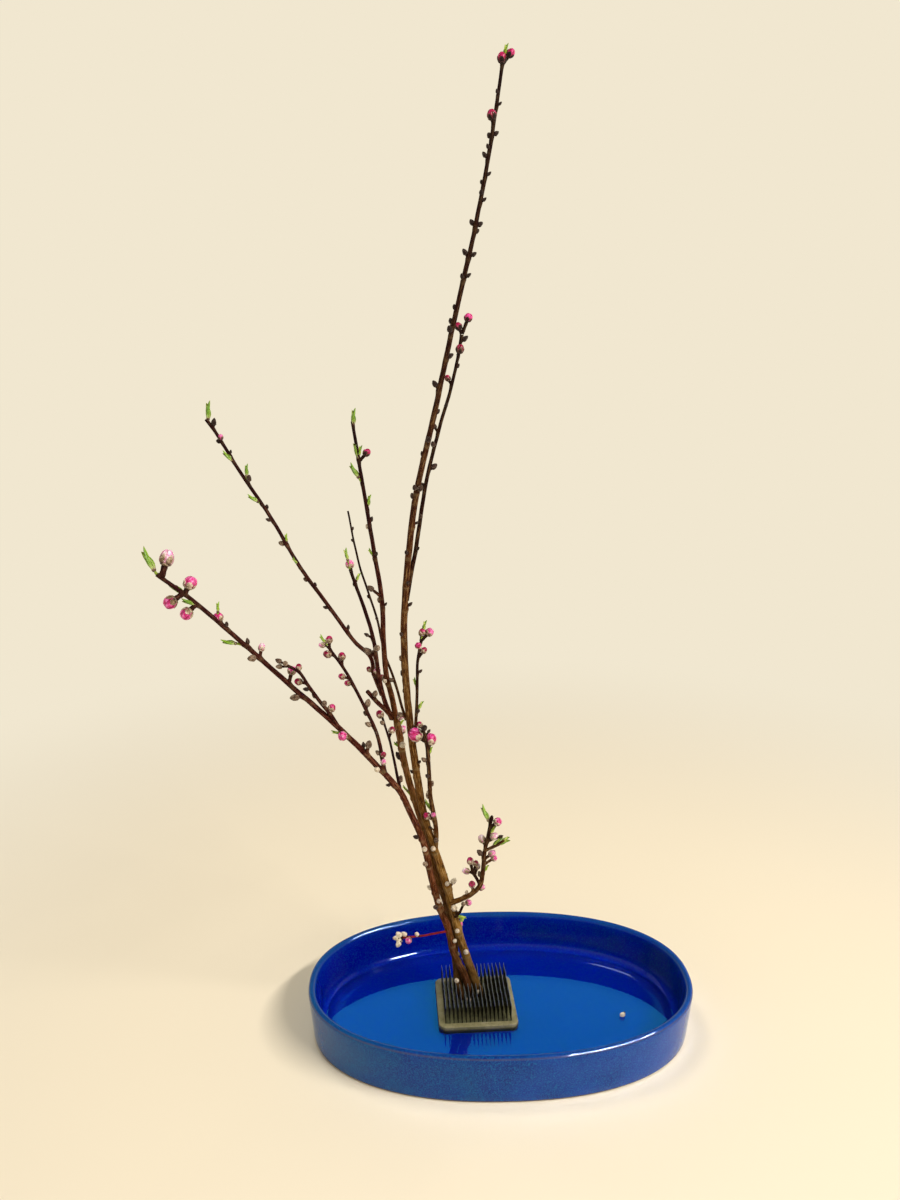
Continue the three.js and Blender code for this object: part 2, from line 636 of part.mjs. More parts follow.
const arrangement = new THREE.Group();
arrangement.name = 'ikebana_arrangement';

function addPiece(name, geometry, finish) {
  const mesh = new THREE.Mesh(geometry, finish);
  mesh.name = name;
  arrangement.add(mesh);
}

addPiece('bowl', bowlGeometry(), material(0x17489c, 0.25));
addPiece('water', toGeometry(waterSolid()), material(0x1f63b4, 0.05));
addPiece('pin_holder', toGeometry(holderSolid([tall, middle, left])), material(0x8c8665, 0.5, 0.6));
addPiece('tall_branch', toGeometry(tall), material(0x5d4326, 0.8));
addPiece('middle_branch', toGeometry(middle), material(0x4c2a2a, 0.8));
addPiece('left_branch', toGeometry(left), material(0x542c30, 0.8));
addPiece('fallen_bud_scale', fallenScaleGeometry(), material(0x8a6a4a, 0.8));

export default arrangement;
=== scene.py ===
import bisect
import functools
import math
import random
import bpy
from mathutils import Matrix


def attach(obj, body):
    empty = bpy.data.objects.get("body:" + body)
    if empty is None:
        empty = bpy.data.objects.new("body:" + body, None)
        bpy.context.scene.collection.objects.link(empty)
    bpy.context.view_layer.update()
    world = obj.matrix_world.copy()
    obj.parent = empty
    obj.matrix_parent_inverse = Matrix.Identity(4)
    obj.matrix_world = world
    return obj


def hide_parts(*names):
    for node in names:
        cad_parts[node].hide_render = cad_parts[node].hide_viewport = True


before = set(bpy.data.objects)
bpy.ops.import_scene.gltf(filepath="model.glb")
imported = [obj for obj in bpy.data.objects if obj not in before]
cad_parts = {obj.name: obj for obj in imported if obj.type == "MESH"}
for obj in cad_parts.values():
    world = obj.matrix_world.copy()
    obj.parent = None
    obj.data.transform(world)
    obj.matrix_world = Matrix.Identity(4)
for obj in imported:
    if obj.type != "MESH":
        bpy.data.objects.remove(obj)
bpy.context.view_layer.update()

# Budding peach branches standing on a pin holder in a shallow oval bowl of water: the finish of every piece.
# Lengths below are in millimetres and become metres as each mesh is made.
from types import SimpleNamespace

import bmesh
import bpy
from mathutils import Matrix, Vector, noise

MM = 0.001
chance = random.Random(7)

# Bowl: [inset from the widest outline, height] up the outside, over the lip and down to the floor
BOWL_HALF = (175.0, 108.5)
BOWL_SQUARENESS = 2.23
BOWL_SIDES = 240
BOWL_PROFILE = [
    (6.5, 0), (5.4, 0.2), (4.6, 1), (4.1, 2.4), (2.3, 21), (0.45, 41.5), (0.5, 44.3), (1.5, 45.9),
    (3.5, 46.5), (5.4, 45.9), (6.7, 44.3), (7.3, 41.5), (9.3, 30), (11.4, 18), (13.2, 13.5),
    (15.8, 9.8), (19.8, 7), (25, 5.5), (32, 5), (42, 5),
]
BOWL_FLOOR, BOWL_TOP = 5, 46.5
FOOT_HEIGHT = 3
COVING_HEIGHT = 30

# Water: its edge creeps up the glaze, and its sides and bottom lie hidden in the stoneware
WATER_PROFILE = [
    (31, 4.2), (21, 6.2), (16.6, 8.6), (15.2, 10.25), (15.6, 10.2), (16.1, 10.06), (16.7, 10), (17.6, 10), (24, 10),
]

# Pin holder
PLATE_SIDE = 72
PLATE_CORNER = 7
PLATE_EDGE = 0.8
PLATE_BOTTOM = 5.3
PLATE_TOP = 14.3
PLATE_CENTRE = (-21.9, 9.3)
PLATE_TURN = math.radians(2)
PLATE_BORDER = 4.6
FIELD_SLOPE, FIELD_DEPTH = 0.4, 0.5
PINS_ACROSS = 17
PIN_PITCH = 3.7
PIN_LENGTH = 20
PIN_SHAFT = 16
PIN_POINT = ((1.6, 0.8), (1.6, 0.4), (0.8, 0))
PIN_RADIUS = 0.42
PIN_SUNK = 0.8
PIN_LEAN = 0.9
PIN_STEM_GAP = 0.3
STEM_LOOKS, STEM_LOOK_STEP = 24, 1.5

# A shed bud scale on the water: its middle, its length, its turn and the height of its lowest point
HUSK_PLACE = (112, -12)
HUSK_LENGTH = 5.2
HUSK_TURN = math.radians(-72)
HUSK_HEIGHT = 9.8
HUSK_TIP_PLACE = (1.9, 2.3, 0.4)
HUSK_TIP_SHARE = 0.42
HUSK_CORE, HUSK_THICKNESS = 0.8, 0.06

# Shoots, in the CAD model's own numbers: radius at base and tip, bark at base and tip from 0 (olive, old) to 1
# (nearly black, young), points up the middle, and buds as distance up the shoot, side in degrees, kind, size,
# distance from the middle line and lean. Side 0 is right, 90 back, 180 left and 270 front.
BRANCHES = {
    "tall_branch": [
        (4.2, 1.3, 0, 0.95, """
    -16 17 11, -23 17 33, -33 17 65, -40 17 91, -48 16 128, -61 15 173, -69 14 204, -75 12 245, -80 9 291,
    -84 6 347, -84 4 387, -80 2 439, -73 1 492, -59 3 552, -43 8 624, -26 15 696, -14 22 758, -6 28 810
    """, """
    6 270 cream 4, 44 180 cream 4 4, 50 290 cream 5, 74 270 cream 4.5, 78 40 pink 6.3 4.5 50, 81 25 leaf 7 8.5 65,
    120 0 cream 5.5 10.5, 123 60 leaf 6, 124 290 cream 4.5, 162 270 cream 5, 237 150 dark 3.5, 248 330 dark 3.5,
    313 120 dark 4, 329 120 dark 5, 368 240 dark 4, 393 0 dark 4, 413 290 dark 3.5, 438 240 dark 4, 463 0 dark 3,
    491 240 grey 4.5, 491 300 grey 5, 518 120 dark 4, 530 270 grey 5, 573 180 grey 5, 598 0 grey 4.5 4,
    616 240 grey 5, 634 120 dark 4.5, 657 240 dark 4, 659 330 dark 4, 675 180 grey 4.5, 675 340 grey 4,
    698 30 grey 4.5, 698 150 grey 4.5, 716 330 dark 3.5, 720 260 grey 4, 729 120 dark 4, 735 330 dark 3.5,
    748 180 grey 4 4.5, 754 230 dark 3.5, 765 30 dark 4.5, 773 215 crimson 7.5 7.5 25, 786 330 dark 3,
    794 240 dark 3, 815 240 crimson 7.5 6 20, 817 280 leaf 9 10 20, 817 330 crimson 6.5 9.5 35
    """),
        # the fork that runs close beside the tall shoot
        (1.9, 1.2, 0.7, 0.95, """
    -82 4 403, -78 6 424, -73 9 450, -65 14 499, -55 17 539, -43 20 580, -36 21 615
    """, """
    41 300 dark 3.5, 67 270 grey 4, 108 30 grey 5.5, 126 240 grey 4.5, 139 180 grey 4.5 6, 159 270 dark 4,
    178 180 crimson 5 6.5, 191 60 dark 4, 201 355 crimson 7 6 5, 212 30 dark 5.5, 218 180 crimson 6.2 7 35,
    218 350 pink 6.5 14 10
    """),
        # a thin bare twig that passes behind the middle branch
        (1.2, 0.8, 0.5, 0.95, """
    -83 9 295, -86 12 303, -93 21 326, -102 34 349, -108 42 376, -123 52 423, -132 60 468
    """, """
    3 180 grey 5, 34 215 grey 4, 90 270 dark 3.5, 110 120 dark 3.5, 161 240 dark 3, 171 60 dark 3
    """),
        (1.5, 1.1, 0.6, 0.85, """
    -77 10 272, -75 3 297, -74 0 319, -73 -3 353, -70 -4 371
    """, """
    34 45 leaf 8 7.5 40, 34 300 dark 4, 57 130 leaf 8 5.5 30, 70 0 dark 3.5, 84 30 crimson 5.5 8.5 35,
    93 240 crimson 5.8, 99 90 crimson 6.5 8 20, 100 25 pink 6.8 10 40, 101 80 leaf 9 12.5 20
    """),
        (2.2, 1.6, 0.35, 0.75, """
    -59 15 169, -58 11 189, -63 7 225, -64 5 247, -66 3 275, -69 1 289
    """, """
    9 270 grey 5, 19 180 dark 3 7, 31 180 crimson 6.8 8.5, 36 270 pink 4, 39 135 leaf 10 9 40, 55 120 cream 3.5,
    63 60 grey 4.5, 75 240 dark 4.5, 89 180 grey 4.5, 95 45 leaf 6.5 6.5 35, 102 50 pink 10 9.5 35,
    111 180 pink 11.5 11, 115 0 dark 3.5 6.5, 122 120 crimson 5.5, 122 300 dark 6.5
    """),
        # the low sprig on the right, with its two short side twigs
        (2.4, 1.4, 0.2, 0.85, """
    -46 16 113, -37 10 120, -27 4 129, -19 0 141, -17 -2 156, -16 -3 172, -13 -5 192, -10 -7 211
    """, """
    20 120 cream 3.5, 31 180 crimson 6.3 12, 34 30 pale 5.5, 39 60 cream 3.5, 55 40 leaf 6.5 6 45,
    64 15 pink 5.3 11 60, 69 0 pale 6.2 9.5, 72 180 grey 5.5, 83 135 pale 6.8 7 50, 88 10 dark 4 13 65,
    89 0 pale 6.3 7.5, 93 40 leaf 8 8 40, 102 20 pink 7 9 50, 104 80 dark 5 6.5 35, 106 135 leaf 14 11 50
    """),
        (1.5, 1.1, 0.6, 0.85, """
    -19 0 140, -22 -1 147, -26 -2 154
    """, """
    12 40 pale 5 8.5 60, 15 45 crimson 5.2 9 60, 16 70 crimson 6.3 10.5 40, 16 165 pale 6 6 50
    """),
        (1.3, 1, 0.6, 0.5, """
    -15 -4 177, -5 -6 183, 1 -7 188
    """, """
    7 100 leaf 11 7 30, 12 35 leaf 11 6.5 20, 14 65 leaf 9 6.5 20
    """),
        (1.5, 1.1, 0.6, 0.7, """
    -44 17 97, -38 11 105, -33 6 119
    """, """
    6 350 leaf 8 6.5 60, 11 180 cream 6 12.5, 26 10 pink 5.5 4.5 60, 26 240 grey 4.8
    """),
    ],
    "middle_branch": [
        (3.5, 2.9, 0, 0.15, """
    -33 11 11, -38 17 30, -40 22 47, -42 24 75, -48 24 106, -56 22.5 133, -65 22 169, -74 22 204, -84 24 241,
    -91 24 283
    """, """
    18 260 cream 4.5, 72 240 cream 4.2, 81 120 cream 4, 94 180 cream 4, 211 180 leaf 6 13, 244 145 dark 7 9.5 30,
    260 165 leaf 7 5.5 50, 260 290 cream 5.8, 269 40 pale 6.3 8.5 35
    """),
        (2.6, 1.3, 0.15, 1, """
    -91 24 281, -95 24 307, -100 24 330, -102 24 358, -103 27 397, -109 30 439, -117 34 492, -122 38 525,
    -125 40 546
    """, """
    2 20 leaf 6 5.5 55, 7 330 pale 6, 43 240 cream 4, 44 150 crimson 5.5, 110 30 dark 3, 120 180 grey 5.5 11.5,
    153 170 leaf 7 7 25, 154 300 dark 4, 177 120 cream 4.5, 195 20 leaf 10 8 20, 217 180 leaf 13 13 25,
    235 5 crimson 6.5 10 50, 237 190 leaf 14 8.5 5, 238 0 leaf 9 6.5 20, 265 0 leaf 13 7.5 10
    """),
        (2.2, 1.3, 0.4, 0.95, """
    -96 24 291, -102 18 310, -106 10 335, -109 3 365, -115 -8 396, -121 -15 417, -126 -20 435
    """, """
    66 180 grey 6.5 9.5, 73 300 grey 6, 85 180 dark 4 6.5, 136 120 dark 3.5, 141 40 leaf 7 6 50,
    150 85 pink 6.6 8 30, 154 90 leaf 9.5 13 25
    """),
        # the long shoot to the upper left
        (1.8, 1.4, 0.5, 0.9, """
    -104 16 316, -110 14 334, -113 13 351, -126 15 364, -146 22 391, -172 32 426, -195 44 464, -223 58 504,
    -244 70 536, -251 73 545
    """, """
    20 330 pale 6, 21 150 crimson 5, 65 30 dark 4, 90 150 dark 4, 111 60 dark 4, 133 240 leaf 7.5 7 10,
    155 150 grey 5, 155 345 leaf 7 6.5 25, 178 210 dark 4, 196 205 leaf 10 9 30, 216 330 grey 5,
    219 340 leaf 10 10 35, 239 225 leaf 11 7.5 25, 245 330 dark 3, 259 300 pale 4.5, 273 345 dark 6 5.5 45,
    280 340 leaf 15 10.5 40
    """),
        # a spur that was cut back in an earlier season
        (2.1, 1.8, 0.35, 0.6, """
    -95 24 291, -101 20 300, -108 14 310, -116 8 322
    """, """
    31 0 grey 5.5
    """),
    ],
    "left_branch": [
        (3.6, 1.5, 0.1, 0.75, """
    -24.5 14 11, -32 14 38, -42 14 62, -47 14 87, -55 14 110, -62 12 140, -70 8 181, -80 4 209, -89 -2 233,
    -113 -14 269, -141 -28 307, -177 -44 350, -217 -61 398, -243 -73 428, -262 -82 447
    """, """
    0 240 cream 5, 44 60 cream 4, 46 120 leaf 7, 64 320 cream 4, 103 240 dark 5.5, 109 290 cream 4.2,
    120 150 cream 4.5, 150 240 grey 5, 166 270 cream 5, 179 210 dark 5, 243 210 dark 4, 263 0 pale 5 10,
    265 270 cream 5, 285 0 grey 6.5 12, 312 270 pink 7.4, 314 175 leaf 8 8 45, 366 210 grey 6.5,
    380 125 leaf 9 7.5 25, 383 45 pink 7 11 65, 416 45 pale 5.8 8.5 60, 417 240 grey 6.2, 433 185 leaf 11 12.5 40,
    452 0 dark 4, 456 75 pink 7.2 7.5 30, 461 50 leaf 7.5 11.5 50, 482 240 leaf 11, 483 215 pink 9 10.5 85,
    495 40 pink 9.6 9.5 80, 495 140 leaf 14 8 20, 496 210 pink 9.6 11.5 75, 516 45 pale 11 15 70,
    520 75 leaf 17.5 13.5 30
    """),
        (1.7, 1.1, 0.6, 0.8, """
    -138 -27 303, -144 -32 317, -152 -36 330, -160 -42 346, -166 -48 359, -176 -54 368
    """, """
    19 35 crimson 6.6 4 75, 26 330 grey 5, 46 210 dark 4.5, 53 175 crimson 6 7 55, 66 70 crimson 5.2 4.5 50,
    77 180 grey 4.6 7.5, 80 330 grey 4.6, 81 140 grey 4.6 5.5 30
    """),
        (1.7, 1.2, 0.6, 0.8, """
    -102 -9 255, -108 -5 288, -120 0 315, -134 2 343, -148 4 364
    """, """
    13 300 crimson 5, 14 150 grey 4.2, 33 270 dark 3.5, 41 180 grey 5, 57 30 grey 6, 81 180 crimson 5.2,
    87 180 crimson 5.6 7, 100 25 crimson 6.6 8 35, 111 180 crimson 6.8, 118 20 crimson 6.2 7.5 35,
    121 105 leaf 8 7.5 5, 121 180 pale 5
    """),
        (1.3, 0.9, 0.9, 0.95, """
    -89 -2 234, -94 2 260, -97 5 275, -104 9 299
    """, """
    6 60 grey 5.5, 48 20 crimson 6 7 40, 60 240 grey 4.2, 66 155 crimson 6.8 4 20
    """),
        # a thin red twig low down, reaching left over the water
        (1, 0.8, 1.4, 1.4, """
    -48 13 86, -60 5 89, -73 -3 92, -89 -11 96
    """, """
    32 60 cream 4, 40 300 pink 5.5, 43 120 cream 5, 48 240 cream 5, 48 270 cream 5 7 50, 49 90 cream 5.5 4.5 40,
    49 180 cream 4.5 6 15
    """),
    ],
}

# Small buds by rule on the far side of the stout shoots, which the photograph doesn't show
BACK_BUD_SPACING = 70
BACK_BUD_START_SHARE = 0.42
BACK_BUD_END_GAP = 20
BACK_BUD_SWING = 35
BACK_BUD_SIZE = 4.5
BACK_BUD_MIN_RADIUS = 1.4

# How buds and leaf sprouts sit where the table doesn't say
USUAL_LEAN = 45
LEAF_LEAN = 25
SEAT_SHARE = 0.42
LEAF_SEAT_SHARE = 0.7

# Egg forms: height of the widest ring, half width, height below it and above it, and how far it is
# drawn out to a point (1 is round)
TIGHT_EGG = (-0.06, 0.46, 0.44, 0.6, 1.05)
ROUND_EGG = (-0.05, 0.49, 0.45, 0.54, 0.9)
LONG_EGG = (-0.12, 0.44, 0.38, 0.7, 1.0)
PLUMP_EGG = (-0.1, 0.42, 0.38, 0.78, 1.25)
FURRY_EGG = (-0.12, 0.44, 0.36, 0.72, 1.1)
THIN_EGG = (-0.14, 0.36, 0.34, 0.78, 1.45)
HUSK_EGG = (0, 0.4, 0.55, 0.6, 1.2)

# Each kind of bud: down is how pale and furry its scales are, bloom the petals' colour from crimson (0) to
# nearly white (1), cup how far the calyx reaches up in degrees, and turn that of its lowest scale
BUDS = {
    "crimson": {
        "down": (0.3, 0.6), "egg": TIGHT_EGG, "bloom": (0.12, 0.36), "core": 0.9, "cup": 110,
        "petals": {"half_width": 60, "low": 60, "high": 176, "swirl": 0.045, "tip": 0.22},
    },
    "pink": {
        "down": (0.3, 0.6), "egg": ROUND_EGG, "bloom": (0.42, 0.68), "core": 0.9, "cup": 100,
        "petals": {"half_width": 58, "low": 52, "high": 170, "swirl": 0.06, "lift": 0.03, "tip": 0.26},
    },
    "pale": {
        "down": (0.4, 0.65), "egg": LONG_EGG, "bloom": (0.65, 1.0), "core": 0.86, "cup": 124,
        "petals": {"half_width": 54, "low": 52, "high": 164, "swirl": 0.06, "lift": 0.05, "tip": 0.34},
    },
    "grey": {"down": (0.3, 0.62), "egg": PLUMP_EGG, "turn": 0},
    "cream": {"down": (0.85, 1.0), "egg": FURRY_EGG, "turn": 40},
    "dark": {"down": (0.0, 0.22), "egg": THIN_EGG, "turn": 80},
}

# Buds high up are painted darker, as shade where they stand against the light behind them, and lower down they are
# furry
SHADE_HIGH_FROM = 430
SHADE_HIGH_FULL = 680
SHADE_HIGH_MOST = 0.75

# The skin of a shoot swells at each bud, with a paler leaf scar below it. Thin shoots flare at their base. How
# thick a shoot is, where its middle runs and how smooth its skin is vary a little, each over its own length.
STEM_BOTTOM = PLATE_TOP + 0.3
STOUT_RADIUS = 3
STOUT_SIDES, THIN_SIDES, STALK_SIDES = 18, 14, 10
RING_STEP = 1.6
NODE_LENGTH = 2.2
NODE_REACH = 3 * NODE_LENGTH
NODE_RISE = 0.8
NODE_LEAST, NODE_FULL_RADIUS = 0.25, 4
SCAR_BELOW, SCAR_LENGTH = 1.6, 1.1
SCAR_BEHIND = 0.35
FLARE, FLARE_LENGTH = 0.22, 6
UNEVEN, UNEVEN_LENGTH = 0.05, 9
WANDER, WANDER_LENGTH = 0.25, 16
LUMPS, LUMP_LENGTH = 0.03, 4
HEADING_REACH = 0.4

# Stalks start inside the shoot, taper, and have two knots. They are as wide at their foot as a share of the bud
# or of the shoot allows. Those of leaves are green, which is past 1 in the bark's colours.
STALK_START = 0.35
STALK_RINGS = 5
STALK_KNOT = 1.15
STALK_SCAR = 0.15
STALK_BUD_SHARE, STALK_SHOOT_SHARE, STALK_LEAST = 0.3, 0.7, 0.9
BUD_STALK_SHARE = 0.2
BUD_STALK_GAP = 0.8
LEAF_STALK_RADIUS = 0.7
LEAF_STALK_TONE = 1.8
LEAF_STALK_SUNK = 0.8

# Petals and scales, in units of a bud's width: how thick they are, how broad they stay up to their tips and how
# far their edges curl in. A bud form is a little fuller below its widest ring than a ball is.
PETAL_THICKNESS = 0.03
SCALE_THICKNESS = 0.035
SCALE_CORE = 0.9
WRAP_SHOULDER = 2.2
WRAP_CUPPING = 0.02
EGG_FOOT_POWER = 0.92

# A young leaf: its thickness in units of its length, and how wide, folded, bent and wavy it is
BLADE_THICKNESS = 0.1
BLADE_WIDTH = 2.45
BLADE_RIB, BLADE_FOLD, BLADE_BEND, BLADE_WAVE = 0.35, 1.15, 0.25, 0.06

# Leaf sprouts: a share of their length and a least size, for a leaf's half width and for the collar
LEAF_HALF_SHARE, LEAF_HALF_LEAST = 0.115, 0.55
COLLAR_SHARE, COLLAR_LEAST = 0.12, 1.5
LARGE_SPROUT = 10


def table(text):
    """Rows parted by commas, their numbers as numbers."""
    return [[word if word.isalpha() else float(word) for word in row.split()] for row in text.split(",")]


def only(*objects):
    """Object mode, with just these objects selected and the first one active."""
    if bpy.context.mode != "OBJECT":
        bpy.ops.object.mode_set(mode="OBJECT")
    bpy.ops.object.select_all(action="DESELECT")
    for piece in objects:
        piece.select_set(True)
    bpy.context.view_layer.objects.active = objects[0]


def settle(piece):
    """Moves an object's place, turn and scale into its mesh."""
    only(piece)
    bpy.ops.object.transform_apply(location=True, rotation=True, scale=True)


def pick(mesh, kind, wanted):
    """Edit mode, with just the wanted edges or faces of the active object's mesh selected."""
    bpy.ops.object.mode_set(mode="EDIT")
    bpy.ops.mesh.select_mode(type=kind)
    bpy.ops.mesh.select_all(action="DESELECT")
    bpy.ops.object.mode_set(mode="OBJECT")
    for part in mesh.edges if kind == "EDGE" else mesh.polygons:
        part.select = wanted(part)
    bpy.ops.object.mode_set(mode="EDIT")


def leave_edit(outward=False):
    """Back to object mode, with every face turned outward where that is asked for."""
    bpy.ops.mesh.select_mode(type="VERT")
    if outward:
        bpy.ops.mesh.select_all(action="SELECT")
        bpy.ops.mesh.normals_make_consistent(inside=False)
    bpy.ops.object.mode_set(mode="OBJECT")


def thicken(piece, thickness, offset):
    """Gives the active object's sheet of faces a thickness."""
    solid = piece.modifiers.new("thickness", "SOLIDIFY")
    solid.thickness = thickness
    solid.offset = offset
    bpy.ops.object.modifier_apply(modifier="thickness")


def mark(mesh, name, values):
    """Stores a number for each of a mesh's points, or one for all of them, for its material to read."""
    if isinstance(values, (int, float)):
        values = [values] * len(mesh.vertices)
    mesh.attributes.new(name, "FLOAT", "POINT").data.foreach_set("value", values)


def show(name, mesh):
    """A new object in the scene with this mesh."""
    piece = bpy.data.objects.new(name, mesh)
    bpy.context.collection.objects.link(piece)
    return piece


def plant(form, matrix, **marks):
    """A copy of a modelled form, with a mesh of its own, at its place."""
    copy = show(form.name, form.data.copy())
    copy.data.transform(matrix)
    for name, value in marks.items():
        mark(copy.data, name, value)
    return copy


def join(pieces, name):
    only(*pieces)
    bpy.ops.object.join()
    joined = bpy.context.object
    joined.name = name
    joined.data.name = name
    return joined


def smooth_line(points, steps):
    """A centripetal Catmull-Rom line through the points, the curve that the CAD shoots follow."""
    ends = [2 * points[0] - points[1], *points, 2 * points[-1] - points[-2]]
    line = []
    for p0, p1, p2, p3 in zip(ends, ends[1:], ends[2:], ends[3:]):
        t0, t1, t2 = [max((b - a).length ** 0.5, 1e-4) for a, b in ((p0, p1), (p1, p2), (p2, p3))]
        m1 = ((p1 - p0) / t0 - (p2 - p0) / (t0 + t1) + (p2 - p1) / t1) * t1
        m2 = ((p2 - p1) / t1 - (p3 - p1) / (t1 + t2) + (p3 - p2) / t2) * t1
        for w in [step / steps for step in range(steps)]:
            line.append(
                p1 + m1 * w + (-3 * p1 + 3 * p2 - 2 * m1 - m2) * w**2 + (2 * p1 - 2 * p2 + m1 + m2) * w**3
            )
    return [*line, points[-1].copy()]


class Shoot:
    """A shoot's middle line, which can be asked for the place, heading and radius at a distance up it."""

    def __init__(self, base_radius, tip_radius, base_tone, tip_tone, points, buds):
        self.radii, self.tones = (base_radius, tip_radius), (base_tone, tip_tone)
        self.line = smooth_line([Vector(row) for row in table(points)], 24)
        self.along = [0.0]
        for a, b in zip(self.line, self.line[1:]):
            self.along.append(self.along[-1] + (b - a).length)
        self.length = self.along[-1]
        self.buds = table(buds) + self.back_buds()

    def back_buds(self):
        rows = []
        along = BACK_BUD_START_SHARE * self.length
        swing = 1
        while along < self.length - BACK_BUD_END_GAP and self.radius(along) >= BACK_BUD_MIN_RADIUS:
            kind = "grey" if swing > 0 else "dark"
            rows.append([along, 90 + swing * BACK_BUD_SWING, kind, BACK_BUD_SIZE])
            along += BACK_BUD_SPACING
            swing = -swing
        return rows

    def between(self, ends, along):
        return ends[0] + (ends[1] - ends[0]) * min(max(along / self.length, 0), 1)

    def radius(self, along):
        return self.between(self.radii, along)

    def tone(self, along):
        return self.between(self.tones, along)

    def place(self, along):
        along = min(max(along, 0), self.length)
        low = min(bisect.bisect_right(self.along, along), len(self.along) - 1) - 1
        span = self.along[low + 1] - self.along[low]
        return self.line[low].lerp(self.line[low + 1], (along - self.along[low]) / span)

    def reach_height(self, height):
        """How far up the shoot its middle line first comes to a height."""
        along = 0.0
        while self.place(along).z < height:
            along += 0.1
        return along

    def heading(self, along):
        ahead = min(max(along, HEADING_REACH), self.length - HEADING_REACH)
        return (self.place(ahead + HEADING_REACH) - self.place(ahead - HEADING_REACH)).normalized()

    def across(self, along):
        """Two directions square to the shoot: as far right as can be, and towards the back."""
        heading = self.heading(along)
        right = Vector((1, 0, 0))
        right = (right - heading * right.dot(heading)).normalized()
        return right, heading.cross(right)


def around(first, second, turn):
    """The direction that lies at an angle from the first towards the second."""
    return first * math.cos(turn) + second * math.sin(turn)


def bud_place(shoot, along, side, kind, size, reach=None, lean=None):
    """Where a bud sits: its root on the middle line, its direction and how far out its middle lies."""
    right, back = shoot.across(along)
    is_leaf = kind == "leaf"
    if lean is None:
        lean = LEAF_LEAN if is_leaf else USUAL_LEAN
    tilt = math.radians(lean)
    outward = around(right, back, math.radians(side))
    direction = around(shoot.heading(along), outward, tilt)
    radius = shoot.radius(along)
    if reach is None:
        seated = LEAF_SEAT_SHARE * radius if is_leaf else radius + SEAT_SHARE * size
        reach = seated / math.sin(tilt) + (size / 2 if is_leaf else 0)
    across = Vector((0, 1, 0)).cross(direction).normalized()
    return SimpleNamespace(
        root=shoot.place(along), direction=direction, across=across, over=direction.cross(across),
        distance=reach, radius=radius, outward=outward, along=along, kind=kind, size=size,
    )


def oval_shell(name, profile):
    """An oval shell drawn along a profile of (inset, height), closed flat at both ends."""
    bpy.ops.mesh.primitive_circle_add(vertices=BOWL_SIDES, radius=1)
    shell = bpy.context.object
    shell.name = name
    inset, height = profile[0]
    power = 2 / BOWL_SQUARENESS
    for vertex in shell.data.vertices:
        turn = math.atan2(vertex.co.y, vertex.co.x)
        c, s = math.cos(turn), math.sin(turn)
        x = (BOWL_HALF[0] - inset) * math.copysign(abs(c) ** power, c)
        y = (BOWL_HALF[1] - inset) * math.copysign(abs(s) ** power, s)
        vertex.co = Vector((x, y, height)) * MM
    bpy.ops.object.mode_set(mode="EDIT")
    bpy.ops.mesh.select_all(action="SELECT")
    for (inset, height), (next_inset, next_height) in zip(profile, profile[1:]):
        rise = (next_height - height) * MM
        bpy.ops.mesh.extrude_edges_move(TRANSFORM_OT_translate={"value": (0, 0, rise)})
        scale = [(half - next_inset) / (half - inset) for half in BOWL_HALF]
        bpy.ops.transform.resize(value=(*scale, 1), center_override=(0, 0, next_height * MM))
    bpy.ops.mesh.edge_face_add()
    pick(shell.data, "EDGE", lambda edge: max(edge.vertices) < BOWL_SIDES)
    bpy.ops.mesh.edge_face_add()
    leave_edit(outward=True)
    bpy.ops.object.shade_smooth()
    return shell


def make_bowl():
    """The bowl, which also knows at each point whether it is inside (1) or outside (0)."""
    line = smooth_line([Vector((inset, 0, height)) for inset, height in BOWL_PROFILE], 4)
    bowl = oval_shell("glazed_bowl", [(point.x, point.z) for point in line])
    inner = []
    for vertex in bowl.data.vertices:
        outward = Vector((vertex.co.x / BOWL_HALF[0], vertex.co.y / BOWL_HALF[1], 0)).normalized()
        facing = 0.5 - 0.9 * vertex.normal.dot(outward)
        if vertex.co.z < FOOT_HEIGHT * MM:
            facing = 0
        elif vertex.normal.z > 0.5 and vertex.co.z < COVING_HEIGHT * MM:
            facing = 1
        inner.append(min(max(facing, 0), 1))
    mark(bowl.data, "inner", inner)
    return bowl


def make_plate():
    """The cast plate: corners and edges rounded, and a field sunk a little inside its border. Gives the field's
    faces too."""
    middle = (*PLATE_CENTRE, (PLATE_BOTTOM + PLATE_TOP) / 2)
    size = (PLATE_SIDE, PLATE_SIDE, PLATE_TOP - PLATE_BOTTOM)
    bpy.ops.mesh.primitive_cube_add(size=1, location=Vector(middle) * MM, scale=Vector(size) * MM)
    plate = bpy.context.object
    plate.name = "pin_holder_plate"
    bpy.ops.object.transform_apply(location=False, rotation=False, scale=True)
    mesh = plate.data

    def climb(edge):
        a, b = [mesh.vertices[end].co.z for end in edge.vertices]
        return abs(a - b)

    pick(mesh, "EDGE", lambda edge: climb(edge) > MM)
    bpy.ops.mesh.bevel(offset=PLATE_CORNER * MM, segments=10, affect="EDGES")
    pick(mesh, "EDGE", lambda edge: climb(edge) < 0.01 * MM)
    bpy.ops.mesh.bevel(offset=PLATE_EDGE * MM, segments=4, affect="EDGES")
    pick(mesh, "FACE", lambda face: face.normal.z > 0.99 and face.area > 1e-3)
    bpy.ops.mesh.inset(thickness=PLATE_BORDER * MM, depth=0)
    bpy.ops.mesh.inset(thickness=FIELD_SLOPE * MM, depth=-FIELD_DEPTH * MM)
    leave_edit()
    field = [face.index for face in mesh.polygons if face.select]
    plate.rotation_euler.z = PLATE_TURN
    settle(plate)
    bpy.ops.object.shade_smooth_by_angle(angle=math.radians(35))
    return plate, field


